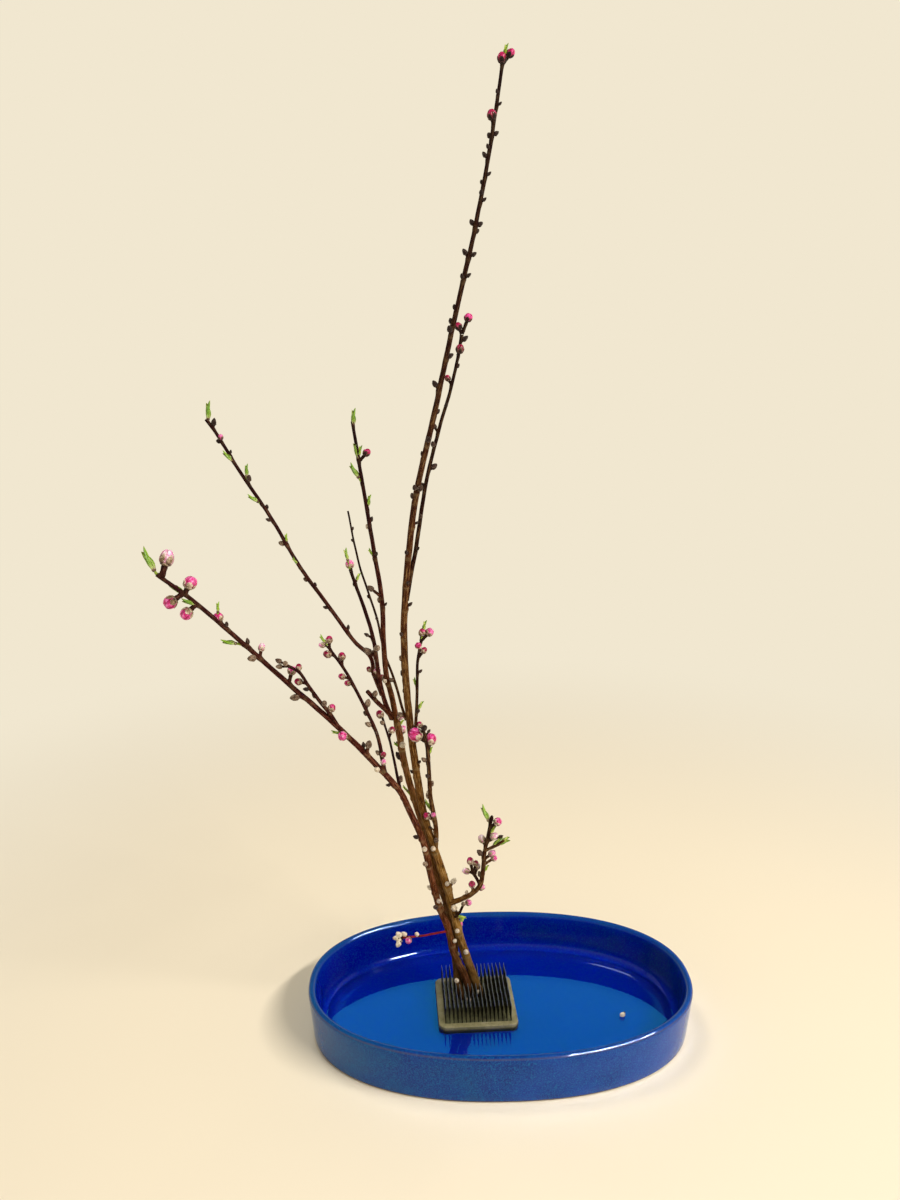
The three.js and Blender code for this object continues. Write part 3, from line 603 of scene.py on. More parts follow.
def in_the_way(foot, stem):
    """Whether a stem crosses the needle that stands at this foot."""
    for height in range(0, PIN_LENGTH + 1, 2):
        for step in range(STEM_LOOKS):
            middle = stem.place(step * STEM_LOOK_STEP)
            apart = math.hypot(middle.x - foot.x, middle.y - foot.y)
            if abs(middle.z - foot.z - height) < 1 and apart < stem.radius(0) + PIN_RADIUS + PIN_STEM_GAP:
                return True
    return False


def make_pins(stems):
    """Rows of upright needles. Those that a stem is spiked on are left out."""
    bpy.ops.mesh.primitive_cylinder_add(
        vertices=8, radius=PIN_RADIUS * MM, depth=PIN_SHAFT * MM, location=(0, 0, PIN_SHAFT / 2 * MM)
    )
    pin = bpy.context.object
    settle(pin)
    pick(pin.data, "FACE", lambda face: face.normal.z > 0.99)
    for rise, width in PIN_POINT:
        bpy.ops.mesh.extrude_region_move(TRANSFORM_OT_translate={"value": (0, 0, rise * MM)})
        if width:
            bpy.ops.transform.resize(value=(width, width, 1), center_override=(0, 0, 0))
    bpy.ops.mesh.merge(type="CENTER")
    leave_edit()
    bpy.ops.object.shade_smooth()
    turn = Matrix.Rotation(PLATE_TURN, 4, "Z")
    middle = (PINS_ACROSS - 1) / 2
    copies = []
    for column in range(PINS_ACROSS):
        for row in range(PINS_ACROSS):
            spot = turn @ Vector(((column - middle) * PIN_PITCH, (row - middle) * PIN_PITCH, 0))
            foot = Vector((*PLATE_CENTRE, PLATE_TOP)) + spot
            if any(in_the_way(foot, stem) for stem in stems):
                continue
            lean = Matrix.Rotation(math.radians(chance.uniform(-PIN_LEAN, PIN_LEAN)), 4, "X")
            lean = lean @ Matrix.Rotation(math.radians(chance.uniform(-PIN_LEAN, PIN_LEAN)), 4, "Y")
            copies.append(plant(pin, Matrix.Translation((foot - Vector((0, 0, PIN_SUNK))) * MM) @ lean))
    bpy.data.objects.remove(pin)
    return join(copies, "pin_rows")


def skin(shoot):
    """Rings of points up a shoot, each with what the bark material needs to know there. Rings can't be
    extruded unevenly by hand, so they are placed by code."""
    stout = shoot.radii[0] > STOUT_RADIUS
    sides = STOUT_SIDES if stout else THIN_SIDES
    steps = max(6, round(shoot.length / RING_STEP))
    nodes = [bud_place(shoot, *row) for row in shoot.buds]
    seed = chance.uniform(0, 100)
    start = shoot.reach_height(STEM_BOTTOM)
    rings = []
    for step in range(steps + 1):
        along = start + (shoot.length - start) * step / steps
        right, back = shoot.across(along)
        thick = shoot.radius(along)
        near = [node for node in nodes if abs(node.along - along) < NODE_REACH]
        uneven = 1 + UNEVEN * noise.noise(Vector((along / UNEVEN_LENGTH, seed, 0)))
        flare = 1 if stout else 1 + FLARE * math.exp(-along / FLARE_LENGTH)
        wander = right * noise.noise(Vector((along / WANDER_LENGTH, seed, 5)))
        wander += back * noise.noise(Vector((along / WANDER_LENGTH, seed, 9)))
        middle = shoot.place(along) + WANDER * wander * min(1, thick)
        for side in range(sides):
            turn = 2 * math.pi * side / sides
            c, s = math.cos(turn), math.sin(turn)
            way = right * c + back * s
            lumps = noise.noise(Vector((c * 2, s * 2, along / LUMP_LENGTH + seed)))
            radius = thick * uneven * flare * (1 + LUMPS * lumps)
            scar = 0.0
            for node in near:
                past = along - node.along
                facing = max(0.0, way.dot(node.outward))
                closeness = math.exp(-((past / NODE_LENGTH) ** 2))
                radius += NODE_RISE * min(1, NODE_LEAST + thick / NODE_FULL_RADIUS) * closeness * facing**2
                below = math.exp(-(((past + SCAR_BELOW) / SCAR_LENGTH) ** 2))
                scar = max(scar, below * (SCAR_BEHIND + (1 - SCAR_BEHIND) * facing))
            grain = (c * shoot.radii[0], s * shoot.radii[0], along + seed * 10)
            point = middle + way * radius
            point.z = max(point.z, STEM_BOTTOM)
            rings.append((point, grain, shoot.tone(along), scar))
    return rings, sides


def stalk(place, length, narrow, tone):
    """A short stalk from a shoot's middle line out to a bud or a leaf sprout."""
    start = STALK_START * place.radius
    wide = min(STALK_BUD_SHARE * place.size, max(STALK_SHOOT_SHARE * place.radius, STALK_LEAST))
    wide = max(wide, narrow)
    seed = chance.uniform(0, 100)
    rings = []
    for step in range(STALK_RINGS):
        share = step / (STALK_RINGS - 1)
        middle = place.root + place.direction * (start + (length - start) * share)
        radius = (wide + (narrow - wide) * share) * (STALK_KNOT if step in (1, 3) else 1)
        for side in range(STALK_SIDES):
            way = around(place.across, place.over, 2 * math.pi * side / STALK_SIDES)
            grain = (way.x * radius, way.y * radius, seed + 9 * share)
            rings.append((middle + way * radius, grain, tone, STALK_SCAR))
    return rings, STALK_SIDES


def bark_piece(name, tubes, redness):
    """One mesh of closed tubes, each a list of ring points and the number of sides."""
    rows, faces = [], []
    for rings, sides in tubes:
        base, last = len(rows), len(rows) + len(rings) - sides
        rows += rings
        for ring in range(base, last, sides):
            for side in range(sides):
                a, b = ring + side, ring + (side + 1) % sides
                faces.append((a, b, b + sides, a + sides))
        faces.append(tuple(reversed(range(base, base + sides))))
        faces.append(tuple(range(last, last + sides)))
    points, grains, tones, scars = zip(*rows)
    mesh = bpy.data.meshes.new(name)
    mesh.from_pydata([point * MM for point in points], [], faces)
    for mark_name, values in (("tone", tones), ("redness", redness), ("scar", scars)):
        mark(mesh, mark_name, values)
    grain = mesh.attributes.new("grain", "FLOAT_VECTOR", "POINT")
    grain.data.foreach_set("vector", [number for row in grains for number in row])
    mesh.shade_smooth()
    return show(name, mesh)


def wrapped_leaf(shape, egg, turn, half_width, low, high, out=0.0, swirl=0.0, lift=0.0, tip=0.5, rows=6, columns=5):
    """One petal or bud scale: a patch that follows an egg form between two angles up it, narrowing to its tip.
    out, swirl and lift move it off the egg: all of it, one side, and its tip."""
    middle, wide, below, above, point_power = egg
    rise = shape.verts.layers.float["rise"]
    edge = shape.verts.layers.float["edge"]
    grid = []
    for row in range(rows + 1):
        v = row / rows
        polar = math.radians(low + (high - low) * v)
        upper = math.cos(polar) < 0
        narrowing = max(1 - v**WRAP_SHOULDER, 0) ** tip
        width = math.radians(half_width) * narrowing
        line = []
        for column in range(columns + 1):
            u = 2 * column / columns - 1
            away = out + (swirl * u - WRAP_CUPPING * u * u * v) * narrowing + lift * v * v
            spread = (wide + away) * math.sin(polar) ** (point_power if upper else EGG_FOOT_POWER)
            angle = math.radians(turn) + u * width
            height = middle - math.cos(polar) * ((above if upper else below) + away)
            point = shape.verts.new((spread * math.cos(angle), spread * math.sin(angle), height))
            point[rise] = v
            point[edge] = abs(u)
            line.append(point)
        grid.append(line)
    for a, b in zip(grid, grid[1:]):
        for side in range(columns):
            shape.faces.new((a[side], a[side + 1], b[side + 1], b[side]))


def template(name, wraps, egg, core, thickness):
    """A bud form in units of its width: a smooth core with petals or scales wrapped round it."""
    shape = bmesh.new()
    shape.verts.layers.float.new("rise")
    shape.verts.layers.float.new("edge")
    for wrap in wraps:
        wrapped_leaf(shape, egg, **wrap)
    bmesh.ops.remove_doubles(shape, verts=shape.verts, dist=1e-4)
    mesh = bpy.data.meshes.new(name)
    shape.to_mesh(mesh)
    shape.free()
    husks = show(name, mesh)
    only(husks)
    thicken(husks, thickness, -1)
    bpy.ops.object.shade_smooth()
    if not core:
        return husks
    bpy.ops.mesh.primitive_uv_sphere_add(segments=12, ring_count=9, radius=1)
    heart = bpy.context.object
    middle, wide, below, above, point_power = egg
    for vertex in heart.data.vertices:
        x, y, z = vertex.co
        level = max(1 - z**2, 1e-6) ** 0.5
        narrow = level ** (point_power - 1) if z > 0 else 1
        height = above if z > 0 else below
        vertex.co = Vector((x * wide * core * narrow, y * wide * core * narrow, middle + z * height * core))
    bpy.ops.object.shade_smooth()
    mark(heart.data, "rise", 0.5)
    mark(heart.data, "edge", 0)
    return join([husks, heart], name)


def tier(count, start, **wrap):
    """A ring of equal petals or scales."""
    return [{"turn": start + 360 / count * n, **wrap} for n in range(count)]


def bud_templates():
    """The petals of each kind of flower bud, and the scales of each kind of bud."""
    petals, scales = {}, {}
    for kind, form in BUDS.items():
        if "bloom" in form:
            wraps = tier(5, 0, **form["petals"])
            petals[kind] = template("petals", wraps, form["egg"], form["core"], PETAL_THICKNESS)
            cup = tier(5, 20, half_width=46, low=3, high=form["cup"], out=0.035, lift=0.03, columns=4)
            collar = tier(3, 0, half_width=64, low=3, high=58, out=0.07, lift=0.03, tip=0.6, columns=4, rows=3)
            scales[kind] = template("sepal_cup", cup + collar, form["egg"], 0, SCALE_THICKNESS)
            mark(scales[kind].data, "calyx", 1)
        else:
            turn = form["turn"]
            bottom = tier(3, turn, half_width=66, low=8, high=84, out=0.05, lift=0.02, columns=4, rows=4)
            middle = tier(3, turn + 60, half_width=64, low=30, high=126, out=0.025, columns=4, rows=4)
            top = tier(3, turn + 25, half_width=60, low=60, high=174, tip=0.45, columns=4, rows=5)
            scales[kind] = template("scale_bud", bottom + middle + top, form["egg"], SCALE_CORE, SCALE_THICKNESS)
    return petals, scales


def blade_template():
    """A young leaf folded along its rib: 1 long, 1 from rib to edge, its tip bent outwards."""
    bpy.ops.mesh.primitive_grid_add(x_subdivisions=6, y_subdivisions=12, size=2)
    blade = bpy.context.object
    blade.name = "folded_leaf"
    side, rise = [], []
    for vertex in blade.data.vertices:
        across, up = vertex.co.x, (vertex.co.y + 1) / 2
        width = BLADE_WIDTH * (up + 0.1) ** 0.7 * max(1 - up, 0) ** 0.8
        fold = BLADE_RIB * width - BLADE_FOLD * abs(across) ** 1.25 * width
        wave = BLADE_WAVE * math.sin(11 * up + 1) * abs(across)
        vertex.co = Vector((across * width, fold + BLADE_BEND * up**2 + wave, up))
        side.append(abs(across))
        rise.append(up)
    mark(blade.data, "edge", side)
    mark(blade.data, "rise", rise)
    thicken(blade, BLADE_THICKNESS, 0)
    bpy.ops.object.mode_set(mode="EDIT")
    bpy.ops.mesh.select_all(action="SELECT")
    bpy.ops.mesh.remove_doubles(threshold=0.001)
    leave_edit(outward=True)
    bpy.ops.object.shade_smooth()
    return blade


def upright(*axes):
    """The matrix of three axes."""
    return Matrix(axes).transposed().to_4x4()


def stand(place, size, distance):
    """The matrix that puts a bud form on its place, turned at random about its own axis."""
    middle = place.root + place.direction * distance
    turn = Matrix.Rotation(chance.uniform(0, 2 * math.pi), 4, "Z")
    axes = upright(place.across, place.over, place.direction)
    return Matrix.Translation(middle * MM) @ axes @ turn @ Matrix.Scale(size * MM, 4)


def sprout(place, blade, scales):
    """Folded young leaves that fan out from one root, round two furled ones, in a collar of scales."""
    size = place.size
    start = max(STALK_START * place.radius, place.distance - size / 2)
    foot = place.root + place.direction * start
    half = LEAF_HALF_SHARE * size + LEAF_HALF_LEAST
    count = 3 if size >= LARGE_SPROUT else 2
    leaves = []
    # turn round the root, spread, share of the length, share of the width, and how pale
    fan = [(n / count * 2 * math.pi + 0.3, 0.1, 1 - 0.14 * n, 1.0, n % 2 * 0.6) for n in range(count)]
    fan += [(1.7, 0.05, 0.8, 0.7, 0.7), (4.4, 0.1, 0.6, 0.75, 0.1)]
    for turn, spread, share, wide, pale in fan:
        aside = around(place.across, place.over, turn)
        way = (place.direction + aside * spread).normalized()
        across = way.cross(aside).normalized()
        over = across.cross(way)
        axes = upright(across * half * wide, over * half * wide, way * size * share)
        spot = Matrix.Translation(foot * MM) @ Matrix.Scale(MM, 4) @ axes
        leaves.append(plant(blade, spot, tint=pale + chance.uniform(0, 0.3)))
    collar = stand(place, COLLAR_SHARE * size + COLLAR_LEAST, start)
    return leaves, plant(scales["pale"], collar, down=chance.uniform(0.1, 0.4))


def grow(name, shoots, redness, petals, scales, blade):
    """One branch: its bark, its petals, its bud scales and its leaves, each a piece."""
    tubes, copies = [], {"petals": [], "bud_scales": [], "leaves": []}
    for shoot in shoots:
        tubes.append(skin(shoot))
        for row in shoot.buds:
            place = bud_place(shoot, *row)
            kind, size, distance = place.kind, place.size, place.distance
            if kind == "leaf":
                leaves, collar = sprout(place, blade, scales)
                copies["leaves"] += leaves
                copies["bud_scales"].append(collar)
                foot = distance - size / 2
                if foot > place.radius:
                    tubes.append(stalk(place, foot + LEAF_STALK_SUNK, LEAF_STALK_RADIUS, LEAF_STALK_TONE))
                continue
            throat = distance - SEAT_SHARE * size
            if throat > BUD_STALK_GAP * place.radius:
                tubes.append(stalk(place, throat, BUD_STALK_SHARE * size, min(shoot.tone(place.along), 1.0)))
            spot = stand(place, size, distance)
            if kind in petals:
                bloom = chance.uniform(*BUDS[kind]["bloom"])
                copies["petals"].append(plant(petals[kind], spot, bloom=bloom))
            height = (place.root + place.direction * distance).z
            # Painted shade: the higher a bud stands, the darker its scales
            high_shade = SHADE_HIGH_MOST * min(max((height - SHADE_HIGH_FROM) / (SHADE_HIGH_FULL - SHADE_HIGH_FROM), 0), 1)
            down = chance.uniform(*BUDS[kind]["down"]) - high_shade
            copies["bud_scales"].append(plant(scales[kind], spot, down=down))
    bark = bark_piece(name + "_bark", tubes, redness)
    return [bark, *[join(pieces, f"{name}_{kind}") for kind, pieces in copies.items()]]


def make_husk():
    """The shed bud scale on the water: a pale cupped scale with a small brown one still on its tip."""
    halves = []
    for name, count, start, low, down in (("shed_scale", 2, 90, 25, 1), ("brown_scale", 3, 0, 20, 0)):
        wraps = tier(count, start, half_width=62, low=low, high=168)
        halves.append(template(name, wraps, HUSK_EGG, HUSK_CORE, HUSK_THICKNESS))
        mark(halves[-1].data, "down", down)
    pale, brown = halves
    lie = Matrix.Rotation(HUSK_TURN, 4, "Z") @ Matrix.Rotation(math.radians(90), 4, "X")
    pale.data.transform(Matrix.Scale(HUSK_LENGTH * MM, 4) @ lie)
    tip = Matrix.Translation(Vector(HUSK_TIP_PLACE) * MM)
    brown.data.transform(tip @ Matrix.Scale(HUSK_TIP_SHARE * HUSK_LENGTH * MM, 4))
    husk = join(halves, "shed_bud_scale")
    lowest = min(vertex.co.z for vertex in husk.data.vertices)
    husk.data.transform(Matrix.Translation((HUSK_PLACE[0] * MM, HUSK_PLACE[1] * MM, HUSK_HEIGHT * MM - lowest)))
    return husk


def linear(code):
    """An sRGB hex colour as the linear values that Blender's nodes take."""
    channels = [int(code[i:i + 2], 16) / 255 for i in (1, 3, 5)]
    return tuple(c / 12.92 if c <= 0.04045 else ((c + 0.055) / 1.055) ** 2.4 for c in channels) + (1.0,)


def add(tree, kind, *values, output=None, **named):
    """Adds a node and gives one of its outputs. Values go to its open inputs in order, and then to its colour
    ramp as stops. Of the named ones, a capital starts an input's name and a small letter a setting's."""
    node = tree.nodes.new("ShaderNode" + kind)
    for name, value in named.items():
        if name[0].islower():
            setattr(node, name, value)
    sockets = [socket for socket in node.inputs if socket.enabled]
    filled = list(zip(sockets, values))
    filled += [(node.inputs[name.replace("_", " ")], value) for name, value in named.items() if name[0].isupper()]
    for socket, value in filled:
        if isinstance(value, bpy.types.NodeSocket):
            tree.links.new(value, socket)
        else:
            socket.default_value = linear(value) if isinstance(value, str) else value
    stops = values[len(sockets):]
    while stops and len(node.color_ramp.elements) < len(stops):
        node.color_ramp.elements.new(1)
    for element, (position, colour) in zip(node.color_ramp.elements if stops else (), stops):
        element.position = position
        element.color = linear(colour) if isinstance(colour, str) else (colour, colour, colour, 1)
    return node.outputs[output] if output else next((socket for socket in node.outputs if socket.enabled), None)


def blank(name, *stored):
    """A material with no nodes yet, what adds nodes to it, the place on a piece in millimetres, for patterns of
    a real size, and what the piece's mesh has stored under these names."""
    made = bpy.data.materials.new(name)
    made.use_nodes = True
    made.node_tree.nodes.clear()
    node = functools.partial(add, made.node_tree)
    mm = node("Mapping", node("TexCoord", output="Object"), Scale=(1000, 1000, 1000))
    return made, node, mm, *[node("Attribute", output="Fac", attribute_name=each) for each in stored]


def layers(node, colour, *coats):
    """Lays colours over each other. A coat is a pattern, the stops that make it a share if it isn't one, and a
    colour."""
    for pattern, *stops, over in coats:
        share = node("ValToRGB", pattern, *stops) if stops else pattern
        colour = node("Mix", share, colour, over, data_type="RGBA")
    return colour


# Where finishes change: heights from none to full, and for the floor distances from the middle
BARE_FOOT = (1.9, 1.3)
# A painted glint on the pins' points
PAINTED_GLINT_HEIGHTS = (29, 33)
# Painted shade on the bark towards its foot
PAINTED_SHADE_FOOT = (95, 15)
FLOOR_FADE = (300, 1100)

# The surroundings, low down
HAZE_COLOUR = "#f1e7d0"


def cobalt_glaze():
    # Cobalt glaze on stoneware, dipped and fired glossy. Inside it pools thick, so it is a deep ultramarine,
    # with teal drifts to the right. Outside it is thinner, with fine teal and violet flecks, and it breaks to
    # grey-brown along the lip. The foot was wiped bare.
    made, node, mm, inner = blank("glazed_stoneware_cobalt", "inner")
    sideways, height = [node("SeparateXYZ", mm, output=axis) for axis in "XZ"]
    up_wall = node("MapRange", height, BOWL_FLOOR, BOWL_TOP)
    uneven = node("Math", node("TexNoise", mm, 0.03, 3), 0.12, -0.06, operation="MULTIPLY_ADD")
    mottle = node("TexNoise", mm, 0.35, 4, 0.7)
    grit = node("TexNoise", mm, 0.85, 3, 0.75)
    drift = node("Math", sideways, 0.0016, node("TexNoise", mm, 0.02, 2), operation="MULTIPLY_ADD")
    teal = node("ValToRGB", drift, (0.5, 0), (0.75, 0.8))
    for share in (
        node("ValToRGB", grit, (0.4, 0.3), (0.6, 1)),
        node("ValToRGB", up_wall, (0.2, 0), (0.4, 1), (0.85, 1), (0.95, 0)),
    ):
        teal = node("Math", teal, share, operation="MULTIPLY")
    pits = node("ValToRGB", node("TexVoronoi", mm, 0.3), (0.05, 0.6), (0.14, 0))
    pooled = node(
        "ValToRGB", node("Math", up_wall, uneven, operation="ADD"), (0, "#0020b4"), (0.05, "#001cac"),
        (0.1, "#001aa4"), (0.24, "#000e8e"), (0.42, "#000486"), (0.78, "#00078a"), (0.9, "#001a94"),
        (0.985, "#0e3c82"),
    )
    pooled = layers(
        node, pooled, (mottle, (0.5, 0), (0.75, 0.35), "#084874"), (teal, "#04284c"),
        (grit, (0.5, 0), (0.66, 0.3), "#0a58b4"),
    )
    thin = node(
        "ValToRGB", grit, (0.32, "#06145e"), (0.44, "#062c7c"), (0.55, "#08458e"), (0.66, "#0e6496"),
        (0.76, "#22889e"),
    )
    bare = node("MapRange", height, *BARE_FOOT)
    colour = layers(
        node, thin, (drift, (0.45, 0), (0.8, 0.5), "#2050b4"), (drift, (0.15, 0.4), (0.4, 0), "#0a5a86"),
        (pits, "#132050"), (up_wall, (0.935, 0), (0.955, 0.55), (0.972, 0.55), (0.985, 0), "#4f4a5a"),
        (inner, pooled), (bare, "#5d4a40"),
    )
    wavy = node("Bump", Height=node("TexNoise", mm, 0.12, 1), Strength=0.25, Distance=0.0003)
    node("OutputMaterial", node(
        "BsdfPrincipled", colour, Roughness=node("MapRange", bare, To_Min=0.03, To_Max=0.8), IOR=1.45,
        Specular_IOR_Level=0.4, Specular_Tint="#b4ccff",
        Normal=node("Bump", Height=pits, Strength=0.3, Distance=-0.0002, Normal=wavy),
    ))
    return made


def clear_water():
    # Clear water standing still: the glaze shows through it, and at a low angle it mirrors what lies behind.
    # It mirrors more, and bluer, than real water, as it does in the photograph.
    made, node, mm = blank("clear_water_still")
    ripple = node("TexNoise", mm, 0.02, 1)
    node("OutputMaterial", node(
        "BsdfPrincipled", "#eef8ff", Roughness=0, IOR=1.45, Transmission_Weight=1, Specular_IOR_Level=1,
        Specular_Tint="#00fcff", Normal=node("Bump", Height=ripple, Strength=0.2, Distance=0.0004),
    ))
    return made


def oxidised_lead(name, dry, stain_and_shade, damp):
    # Cast lead with years of water on it: dull and chalky where it dries, darker and stained where it doesn't,
    # and nearly black low on its sides and under the water: partly wet, partly painted shade
    made, node, mm = blank(name)
    cloud = node("TexNoise", mm, 0.12, 6, 0.6)
    soaked_and_shaded = node("MapRange", node("SeparateXYZ", mm, output="Z"), PLATE_TOP - 2, PLATE_TOP - 4, To_Max=0.85)
    colour = layers(
        node, dry, (cloud, (0.35, 0), (0.68, 1), stain_and_shade),
        (node("TexNoise", mm, 1.1, 3), (0.58, 0), (0.7, 0.6), "#57502f"), (soaked_and_shaded, "#23241a"),
    )
    node("OutputMaterial", node(
        "BsdfPrincipled", colour, Metallic=0.2, Roughness=node("MapRange", cloud, To_Min=damp, To_Max=damp + 0.3),
        Normal=node("Bump", Height=cloud, Strength=0.5, Distance=0.0004),
    ))
    return made


def tarnished_brass():
    # Brass wire, drawn and ground to points, dulled in the water, with a bluish-white glint painted on its points
    made, node, mm = blank("brass_pins_tarnished")
    cloud = node("TexNoise", mm, 0.25, 4)
    dull = node("ValToRGB", cloud, (0.3, "#100f0b"), (0.5, "#2c2a20"), (0.66, "#5a5848"))
    painted_glint = node("MapRange", node("SeparateXYZ", mm, output="Z"), *PAINTED_GLINT_HEIGHTS)
    node("OutputMaterial", node(
        "BsdfPrincipled", layers(node, dull, (painted_glint, "#dcebf6")), Metallic=0.85,
        Roughness=node("MapRange", cloud, To_Min=0.5, To_Max=0.25),
    ))
    return made


def peach_bark():
    # Peach bark, smooth and slightly waxy: olive on old wood, then brown or maroon, to nearly black on young
    # shoots, red on the thin twig and green on the leaf stalks. It has pale and dark streaks along it, small
    # corky dots across it and a paler scar under each bud, and it is painted darker towards its foot, as shade.
    made, node, mm, tone, redness, scar = blank("peach_bark_smooth", "tone", "redness", "scar")
    grain = node("Attribute", output="Vector", attribute_name="grain")
    shift = node("Math", node("TexNoise", grain, 0.07, 3), 0.36, -0.18, operation="MULTIPLY_ADD")
    age = node("Math", node("Math", tone, shift, operation="ADD"), 0.5, operation="MULTIPLY")
    young = ((0.68, "#7c1826"), (0.76, "#8a2430"), (0.9, "#829a3a"))
    brown = node(
        "ValToRGB", age, (0, "#906c30"), (0.12, "#6e4819"), (0.24, "#44220b"), (0.36, "#220a05"), (0.5, "#120304"),
        *young,
    )
    maroon = node(
        "ValToRGB", age, (0, "#7c5826"), (0.1, "#5e3014"), (0.22, "#42130e"), (0.36, "#2a080b"), (0.5, "#160306"),
        *young,
    )
    old = node("ValToRGB", age, (0.12, 1), (0.4, 0.15))
    streak = node("TexNoise", node("Mapping", grain, Scale=(0.9, 0.9, 0.14)), 1, 5, 0.6)
    dots = node("TexVoronoi", node("Mapping", grain, Scale=(0.32, 0.32, 0.85)), 1)
    dots = node("ValToRGB", dots, (0.1, 0.6), (0.22, 0))
    pale, corky, scarred = [
        node("Math", old, share, operation="MULTIPLY")
        for share in (
            node("ValToRGB", streak, (0.52, 0), (0.66, 0.7)), dots, node("Math", scar, 0.6, operation="MULTIPLY"),
        )
    ]
    # Painted shade: darker towards the foot of each shoot
    stain_and_shade = node("MapRange", node("SeparateXYZ", mm, output="Z"), *PAINTED_SHADE_FOOT, To_Max=0.75)
    colour = layers(
        node, brown, (redness, maroon), (pale, layers(node, "#b8965e", (redness, "#94604e"))),
        (streak, (0.36, 0.85), (0.49, 0), "#180806"), (corky, "#a88a60"), (scarred, "#94805a"), (stain_and_shade, "#1a0c06"),
    )
    relief = node("Math", streak, dots, operation="ADD")
    node("OutputMaterial", node(
        "BsdfPrincipled", colour, Roughness=node("MapRange", streak, To_Min=0.5, To_Max=0.85), IOR=1.4,
        Specular_IOR_Level=0.08, Normal=node("Bump", Height=relief, Strength=0.6, Distance=0.0003),
    ))
    return made


def peach_petals():
    # Peach petals still folded: thin, slightly waxy, crimson when tight and paler as they open, deeper
    # towards the base, in the shade of the folds and between the veins
    made, node, mm, rise, edge, share = blank("peach_petals_folded", "rise", "edge", "bloom")
    cloud = node("TexNoise", mm, 0.42, 3)
    for part, width, shift in ((rise, 0.15, -0.1), (cloud, 1.3, -0.68)):
        part = node("Math", part, width, shift, operation="MULTIPLY_ADD")
        share = node("Math", share, part, operation="ADD")
    bloom = node(
        "ValToRGB", share, (0, "#62031c"), (0.16, "#980438"), (0.32, "#bb1264"), (0.52, "#dc4498"),
        (0.76, "#ee92c6"), (1, "#fae4ee"),
    )
    node("OutputMaterial", node(
        "BsdfPrincipled", layers(node, bloom, (edge, (0.55, 0), (1, 0.6), "#7a0434")), Roughness=0.38,
        Sheen_Weight=0.2, Sheen_Roughness=0.4, Sheen_Tint="#ffd9f2", Subsurface_Weight=0.12,
        Subsurface_Radius=(1, 0.3, 0.6), Subsurface_Scale=0.0012,
        Normal=node("Bump", Height=cloud, Strength=0.35, Distance=0.0004),
    ))
    return made


def downy_scales():
    # Bud scales and calyx: brown papery skin under down, from nearly bare and dark to white and furry. The
    # calyx is olive at its foot and pale at its tips. Single hairs are too fine to show, so the down is
    # drawn as clumps about 0.4 mm apart.
    made, node, mm, rise, edge, calyx, share = blank("bud_scales_downy", "rise", "edge", "calyx", "down")
    hair = node("TexNoise", mm, 2.4, 3)
    for cloud in (hair, node("TexNoise", mm, 0.5, 3)):
        cloud = node("Math", cloud, 0.8, -0.4, operation="MULTIPLY_ADD")
        share = node("Math", share, cloud, operation="ADD")
    scale = node(
        "ValToRGB", share, (0, "#1a0a08"), (0.25, "#36201a"), (0.48, "#66503f"), (0.7, "#a08b76"), (0.95, "#e6dbc6"),
    )
    # Each scale is darker towards its foot: painted shade where it comes out from under the scale outside it
    scale = layers(
        node, scale, (edge, (0.5, 0), (1, 0.5), layers(node, "#4a3026", (share, "#d9cab4"))),
        (rise, (0, 0.75), (0.45, 0), "#35211a"),
    )
    paler = node("Math", rise, 0.75, -0.4, operation="MULTIPLY_ADD")
    cup = node(
        "ValToRGB", node("Math", share, paler, operation="ADD"), (0, "#1c080a"), (0.2, "#3c2018"),
        (0.42, "#6a5236"), (0.68, "#a8957c"), (1, "#ecdccf"),
    )
    cup = layers(node, cup, (edge, (0.6, 0), (1, 0.55), layers(node, "#5a2c28", (share, "#efe2d6"))))
    node("OutputMaterial", node(
        "BsdfPrincipled", layers(node, scale, (calyx, cup)), Roughness=0.85,
        Specular_IOR_Level=0.25, Sheen_Weight=0.15, Sheen_Roughness=0.5, Sheen_Tint="#f2e8d6",
        Normal=node("Bump", Height=hair, Strength=0.9, Distance=0.0003),
    ))
    return made


def young_leaf():
    # Leaves just out of the bud: thin, bright yellow-green that lets light through, a paler rib, darker
    # green between the veins, and a red-brown tinge on the very tip
    made, node, _, rise, edge, tint = blank("young_leaf_waxy", "rise", "edge", "tint")
    slant = node("Math", edge, 0.35, operation="MULTIPLY")
    slope = node("Math", node("Math", rise, slant, operation="SUBTRACT"), 45, operation="MULTIPLY")
    vein = node("MapRange", node("Math", slope, operation="SINE"), -0.3, 1, To_Max=0.3)
    fresh = node("ValToRGB", tint, (0, "#648f18"), (0.35, "#8fb626"), (0.7, "#bad23e"), (1, "#dbe78a"))
    colour = layers(
        node, fresh, (vein, "#3f6a10"), (edge, (0.04, 0.7), (0.2, 0), "#d5e58c"),
        (edge, (0.7, 0), (1, 0.6), "#33520c"), (rise, (0, 0.8), (0.3, 0), "#c3c88a"),
        (rise, (0.9, 0), (1, 0.5), "#9c8a3a"),
    )
    node("OutputMaterial", node(
        "BsdfPrincipled", colour, Roughness=0.4, Subsurface_Weight=0.15, Subsurface_Radius=(0.4, 1, 0.15),
        Subsurface_Scale=0.001, Normal=node("Bump", Height=vein, Strength=0.3, Distance=0.0002),
    ))
    return made


